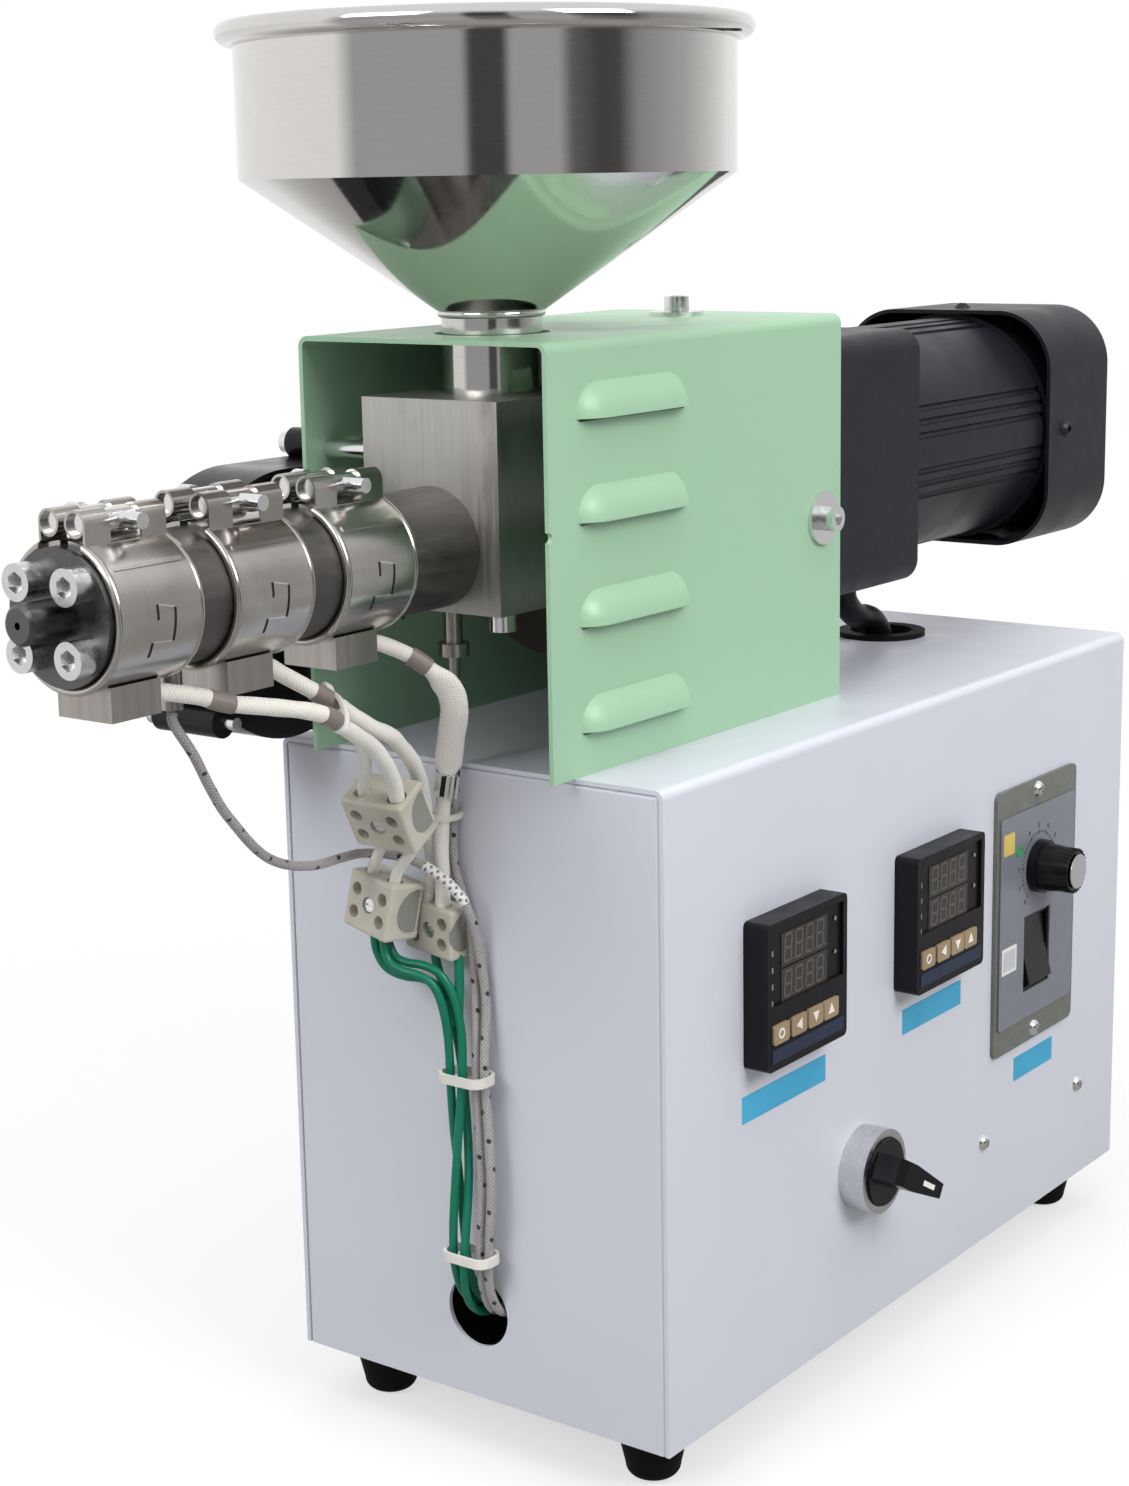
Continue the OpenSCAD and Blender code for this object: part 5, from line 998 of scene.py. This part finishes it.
def tie_round(name, lead_a, at_a, lead_b, at_b, clear):
    """a nylon tie drawn round two leads, with its small square head"""
    (pa, da), (pb, db) = point_on(PATH[lead_a], at_a), point_on(PATH[lead_b], at_b)
    mid, along = (pa + pb) / 2, (da + db).normalized()
    wide = (pb - pa) - along * (pb - pa).dot(along)
    half = wide.length / 2
    wide.normalize()
    side = along.cross(wide)
    verts, faces, n = [], [], 36
    for k in range(n):
        a = 2 * pi * k / n
        out = wide * cos(a) + side * sin(a)
        core = mid + wide * half * cos(a) + out * clear / 1000
        for r, w in ((0, -1), (TIE_THICK, -1), (TIE_THICK, 1), (0, 1)):
            verts.append(core + out * r / 1000 + along * w * TIE_WIDTH / 2000)
    for k in range(n):
        for j in range(4):
            a, b = k * 4 + j, k * 4 + (j + 1) % 4
            c, d = ((k + 1) % n) * 4 + (j + 1) % 4, ((k + 1) % n) * 4 + j
            faces.append((a, b, c, d))
    new_obj(name, verts, faces, "tie_white")
    head = mid + wide * (half + (clear + 1.4) / 1000)
    corners = box_corners(head, (wide, side, along), *((-v, v) for v in TIE_HEAD))
    new_obj(name + "_head", corners, BOX_FACES, "tie_white")


tie_round("lead_tie_1", "heater_lead_front", 0.5, "heater_lead_middle", 0.22, 2.75)
tie_round("lead_tie_2", "heater_lead_rear", 0.755, "feed_sensor_lead", 0.175, 2.5)


def spring_clip():
    """bright clip on the rear lead: a folded plate with upright bars"""
    p, d = point_on(PATH["heater_lead_rear"], 0.625)
    u = (VIEW_RIGHT - d * VIEW_RIGHT.dot(d)).normalized()
    axes = (u, d.cross(u), d)
    verts, faces = [], []
    for x0, x1, w in ((-3.4, -0.6, 2.9), (-0.1, 0.9, 3.3), (1.5, 2.5, 3.3), (3.1, 3.9, 2.9)):
        faces += [tuple(len(verts) + i for i in f) for f in BOX_FACES]
        verts += box_corners(p, axes, (x0, x1), (-w, w), (-4.0, 4.0))
    new_obj("heater_lead_rear_clip", verts, faces, "chrome")
    # a dark box of painted shade between the clip's first bars
    gap = box_corners(p, axes, (-1.6, 0.4), (-3.1, 3.1), (-3.6, 3.6))
    new_obj("heater_lead_rear_clip_gap_shade", gap, BOX_FACES, "painted_shade_dark")


spring_clip()


def sensor_spring():
    """fine bright spring below the feed sensor's nut"""
    x, y, top = 2, 79, 253.6
    per_turn, coils, r, height = 12, 7, 1.95, 9.5
    steps = per_turn * coils
    pts = []
    for k in range(steps + 1):
        a = 2 * pi * k / per_turn
        pts.append(mm(x + r * cos(a), y + r * sin(a), top - height * k / steps))
    tube("feed_sensor_spring", pts, round_ring(0.42), 6, "chrome")


sensor_spring()

# the straps' middles along the barrel, their radius, and marks on each: from and to, as (along, degrees)
BAND_MIDDLES = (-140.8, -97.5, -53.2)
BAND_RADIUS = 20.5
CLOSED_SLOTS = ((-4.35, -2.5, -4.35, 22.5), (4.35, -2.5, 4.35, 22.5), (-4, 0.1, 4, 0.1))
# dark strips of painted shade down the upright runs of each lanced slit
LANCE_SHADES = ((4.4, 4, 4.4, -20), (-1.8, 8, -1.8, -2), (-3.2, -20, -3.2, -31))
# bright chrome strips painted as highlights along the slits' level runs
LANCE_HIGHLIGHTS = ((3.9, 5.5, -1.2, 8.5), (3.9, -20.5, -2.8, -19.3))


def band_strip(x, marks, width, lift):
    """thin strips that follow a band's round"""
    out = []
    r = BAND_RADIUS + lift
    for u0, a0, u1, a1 in marks:
        w0, w1 = radians(a0) * BAND_RADIUS, radians(a1) * BAND_RADIUS
        span = hypot(u1 - u0, w1 - w0)
        du, dw = (u1 - u0) / span, (w1 - w0) / span
        n = max(1, round(span / 1.2))
        for k in range(n):
            pts = []
            for t, side in ((k / n, -1), ((k + 1) / n, -1), ((k + 1) / n, 1), (k / n, 1)):
                d = t * (span + width * 0.6) - width * 0.3
                u, w = u0 + du * d - dw * side * width / 2, w0 + dw * d + du * side * width / 2
                a = w / BAND_RADIUS
                pts.append(mm(x + u, AXIS_Y - r * cos(a), AXIS_Z + r * sin(a)))
            mid = sum(pts, Vector()) / 4
            inward = (Vector((mid.x, (AXIS_Y - MID_Y) / 1000, AXIS_Z / 1000)) - mid).normalized()
            out.append((pts, inward * 0.00012))
    return out


# each band gets flat patches of its own steel, strips of painted shade in its slits, and painted highlights
# on the slits' level runs
for k, x in enumerate(BAND_MIDDLES):
    for part, marks, width, lift, mat in (("flat", CLOSED_SLOTS, 1.6, 0.03, "strap_steel"),
                                          ("lance", LANCE_SHADES, 0.85, 0.06, "painted_shade_dark"),
                                          ("lance_highlight", LANCE_HIGHLIGHTS, 0.45, 0.06, "chrome")):
        solid("band_%d_%s" % (k + 1, part), band_strip(x, marks, width, lift), mat)

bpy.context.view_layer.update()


# -------- stage and light
# what bright metal sees round it, by the angle from the camera's side: (degrees, level)
ROOM = ((-180, 1.0), (-150, 1.0), (-72, 0.95), (-62, 0.42), (-12, 0.42), (-8, 0.07), (6, 0.07),
        (10, 0.42), (31, 0.42), (37, 0.14), (50, 0.07), (60, 0.08), (70, 0.3), (100, 0.5), (140, 1.0),
        (180, 1.0))
CAMERA_SIDE = atan2(CAMERA_PLACE[1] - AXIS_Y, CAMERA_PLACE[0])


def room_level(m, vec):
    """grey level of the room in the direction of vec, as nodes of m"""
    sep = m.n("ShaderNodeSeparateXYZ")
    m.link(vec, sep.inputs[0])
    turn = m.math("SUBTRACT", m.math("ARCTAN2", sep.outputs[1], sep.outputs[0]), CAMERA_SIDE)
    wrap = m.n("ShaderNodeMath", operation="WRAP")
    m.link(turn, wrap.inputs[0])
    wrap.inputs[1].default_value = pi
    wrap.inputs[2].default_value = -pi
    share = m.math("ADD", m.math("MULTIPLY", wrap.outputs[0], 0.5 / pi), 0.5)
    return m.ramp(share, [((d + 180) / 360, v) for d, v in ROOM]), sep


class Nodes(Mat):
    """the same helpers on any node tree"""

    def __init__(self, tree):
        self.t = tree


def smooth_range(m, value, **ends):
    """value eased from one pair of ends to the other, as a node of m"""
    node = m.n("ShaderNodeMapRange", interpolation_type="SMOOTHSTEP")
    m.link(value, node.inputs["Value"])
    m.put(node, **ends)
    return node.outputs[0]


def add_shader(m, kind, color, strength=None):
    node = m.n(kind)
    if isinstance(color, tuple):
        m.put(node, Color=color)
    else:
        m.link(color, node.inputs["Color"])
    if strength is not None:
        m.put(node, Strength=strength)
    return node.outputs[0]


def mix_shader(m, fac, a, b):
    x = m.n("ShaderNodeMixShader")
    if isinstance(fac, float):
        x.inputs[0].default_value = fac
    else:
        m.link(fac, x.inputs[0])
    m.link(a, x.inputs[1])
    m.link(b, x.inputs[2])
    return x.outputs[0]


def floor():
    """a pale floor: white to the camera but for the object's shadow, and the room to bright metal"""
    m = Mat("floor_pale", (0.80, 0.80, 0.80), 0.9)
    m.tint(m.noise(3, 3), 0.01)
    where = m.n("ShaderNodeNewGeometry").outputs["Position"]
    far = m.n("ShaderNodeVectorMath", operation="LENGTH")
    m.link(where, far.inputs[0])
    fade = smooth_range(m, far.outputs["Value"], From_Min=0.2, From_Max=0.9, To_Min=0.62, To_Max=1.0)
    white = add_shader(m, "ShaderNodeEmission", (1, 1, 1, 1), 1.0)
    level, _ = room_level(m, where)
    near = smooth_range(m, far.outputs["Value"], From_Min=0.25, From_Max=1.0)
    room = add_shader(m, "ShaderNodeEmission", m.mix(near, (0.34, 0.33, 0.31), level), 1.0)
    path = m.n("ShaderNodeLightPath")
    # the floor throws little light back, so that upright faces stay darker than flat ones
    dim = add_shader(m, "ShaderNodeBsdfDiffuse", (0.36, 0.36, 0.36, 1))
    shown = mix_shader(m, fade, m.b.outputs[0], white)
    seen = mix_shader(m, path.outputs["Is Camera Ray"], dim, shown)
    seen = mix_shader(m, m.math("MULTIPLY", path.outputs["Is Glossy Ray"], 0.85), seen, room)
    seen = mix_shader(m, m.math("MULTIPLY", path.outputs["Is Transmission Ray"], 0.85), seen, white)
    m.link(seen, m.t.nodes["Material Output"].inputs["Surface"])
    size, z = 8.0, -0.0005
    me = bpy.data.meshes.new("floor")
    corners = [(-size, -size, z), (size, -size, z), (size, size, z), (-size, size, z)]
    me.from_pydata(corners, [], [(0, 1, 2, 3)])
    me.materials.append(m.m)
    placed("floor", me)


WORLD_LEVEL = 0.28


def world():
    """soft light, white to the camera, and the room with a bright ceiling to metal"""
    w = bpy.data.worlds.new("studio")
    bpy.context.scene.world = w
    w.use_nodes = True
    m = Nodes(w.node_tree)
    path = m.n("ShaderNodeLightPath")
    soft = m.t.nodes["Background"]
    m.put(soft, Color=(0.97, 0.98, 1.0, 1), Strength=WORLD_LEVEL)
    way = m.n("ShaderNodeTexCoord").outputs["Generated"]
    level, sep = room_level(m, way)
    up = smooth_range(m, sep.outputs[2], From_Min=0.2, From_Max=0.75)
    room = add_shader(m, "ShaderNodeBackground", m.mix(up, level, (0.95, 0.96, 0.97)), 1.0)
    white = add_shader(m, "ShaderNodeBackground", (1, 1, 1, 1), 1.0)
    out = mix_shader(m, path.outputs["Is Glossy Ray"], soft.outputs[0], room)
    out = mix_shader(m, path.outputs["Is Camera Ray"], out, white)
    out = mix_shader(m, path.outputs["Is Transmission Ray"], out, white)
    m.link(out, m.t.nodes["World Output"].inputs["Surface"])


def lamp(name, loc, target, size, watt, glossy=True):
    """an area lamp that looks at target; with glossy off, metal doesn't mirror it"""
    light = bpy.data.lights.new(name, "AREA")
    light.energy = watt
    light.shape = "RECTANGLE"
    light.size, light.size_y = size
    o = linked(name, light)
    o.location = loc
    o.visible_glossy = glossy
    o.rotation_mode = "QUATERNION"
    o.rotation_quaternion = (Vector(target) - Vector(loc)).to_track_quat("-Z", "Y")


floor()
world()
lamp("key", (-0.2, -1.9, 1.5), (0, 0, 0.2), (1.2, 1.0), 33)
# a wide soft ceiling; bright metal sees the room's own white overhead instead
lamp("top", (0, 0, 3.0), (0, 0, 0), (5, 5), 120, glossy=False)
lamp("front", (-1.75, 0.2, 1.35), (-0.1, 0, 0.2), (1.1, 0.8), 19)
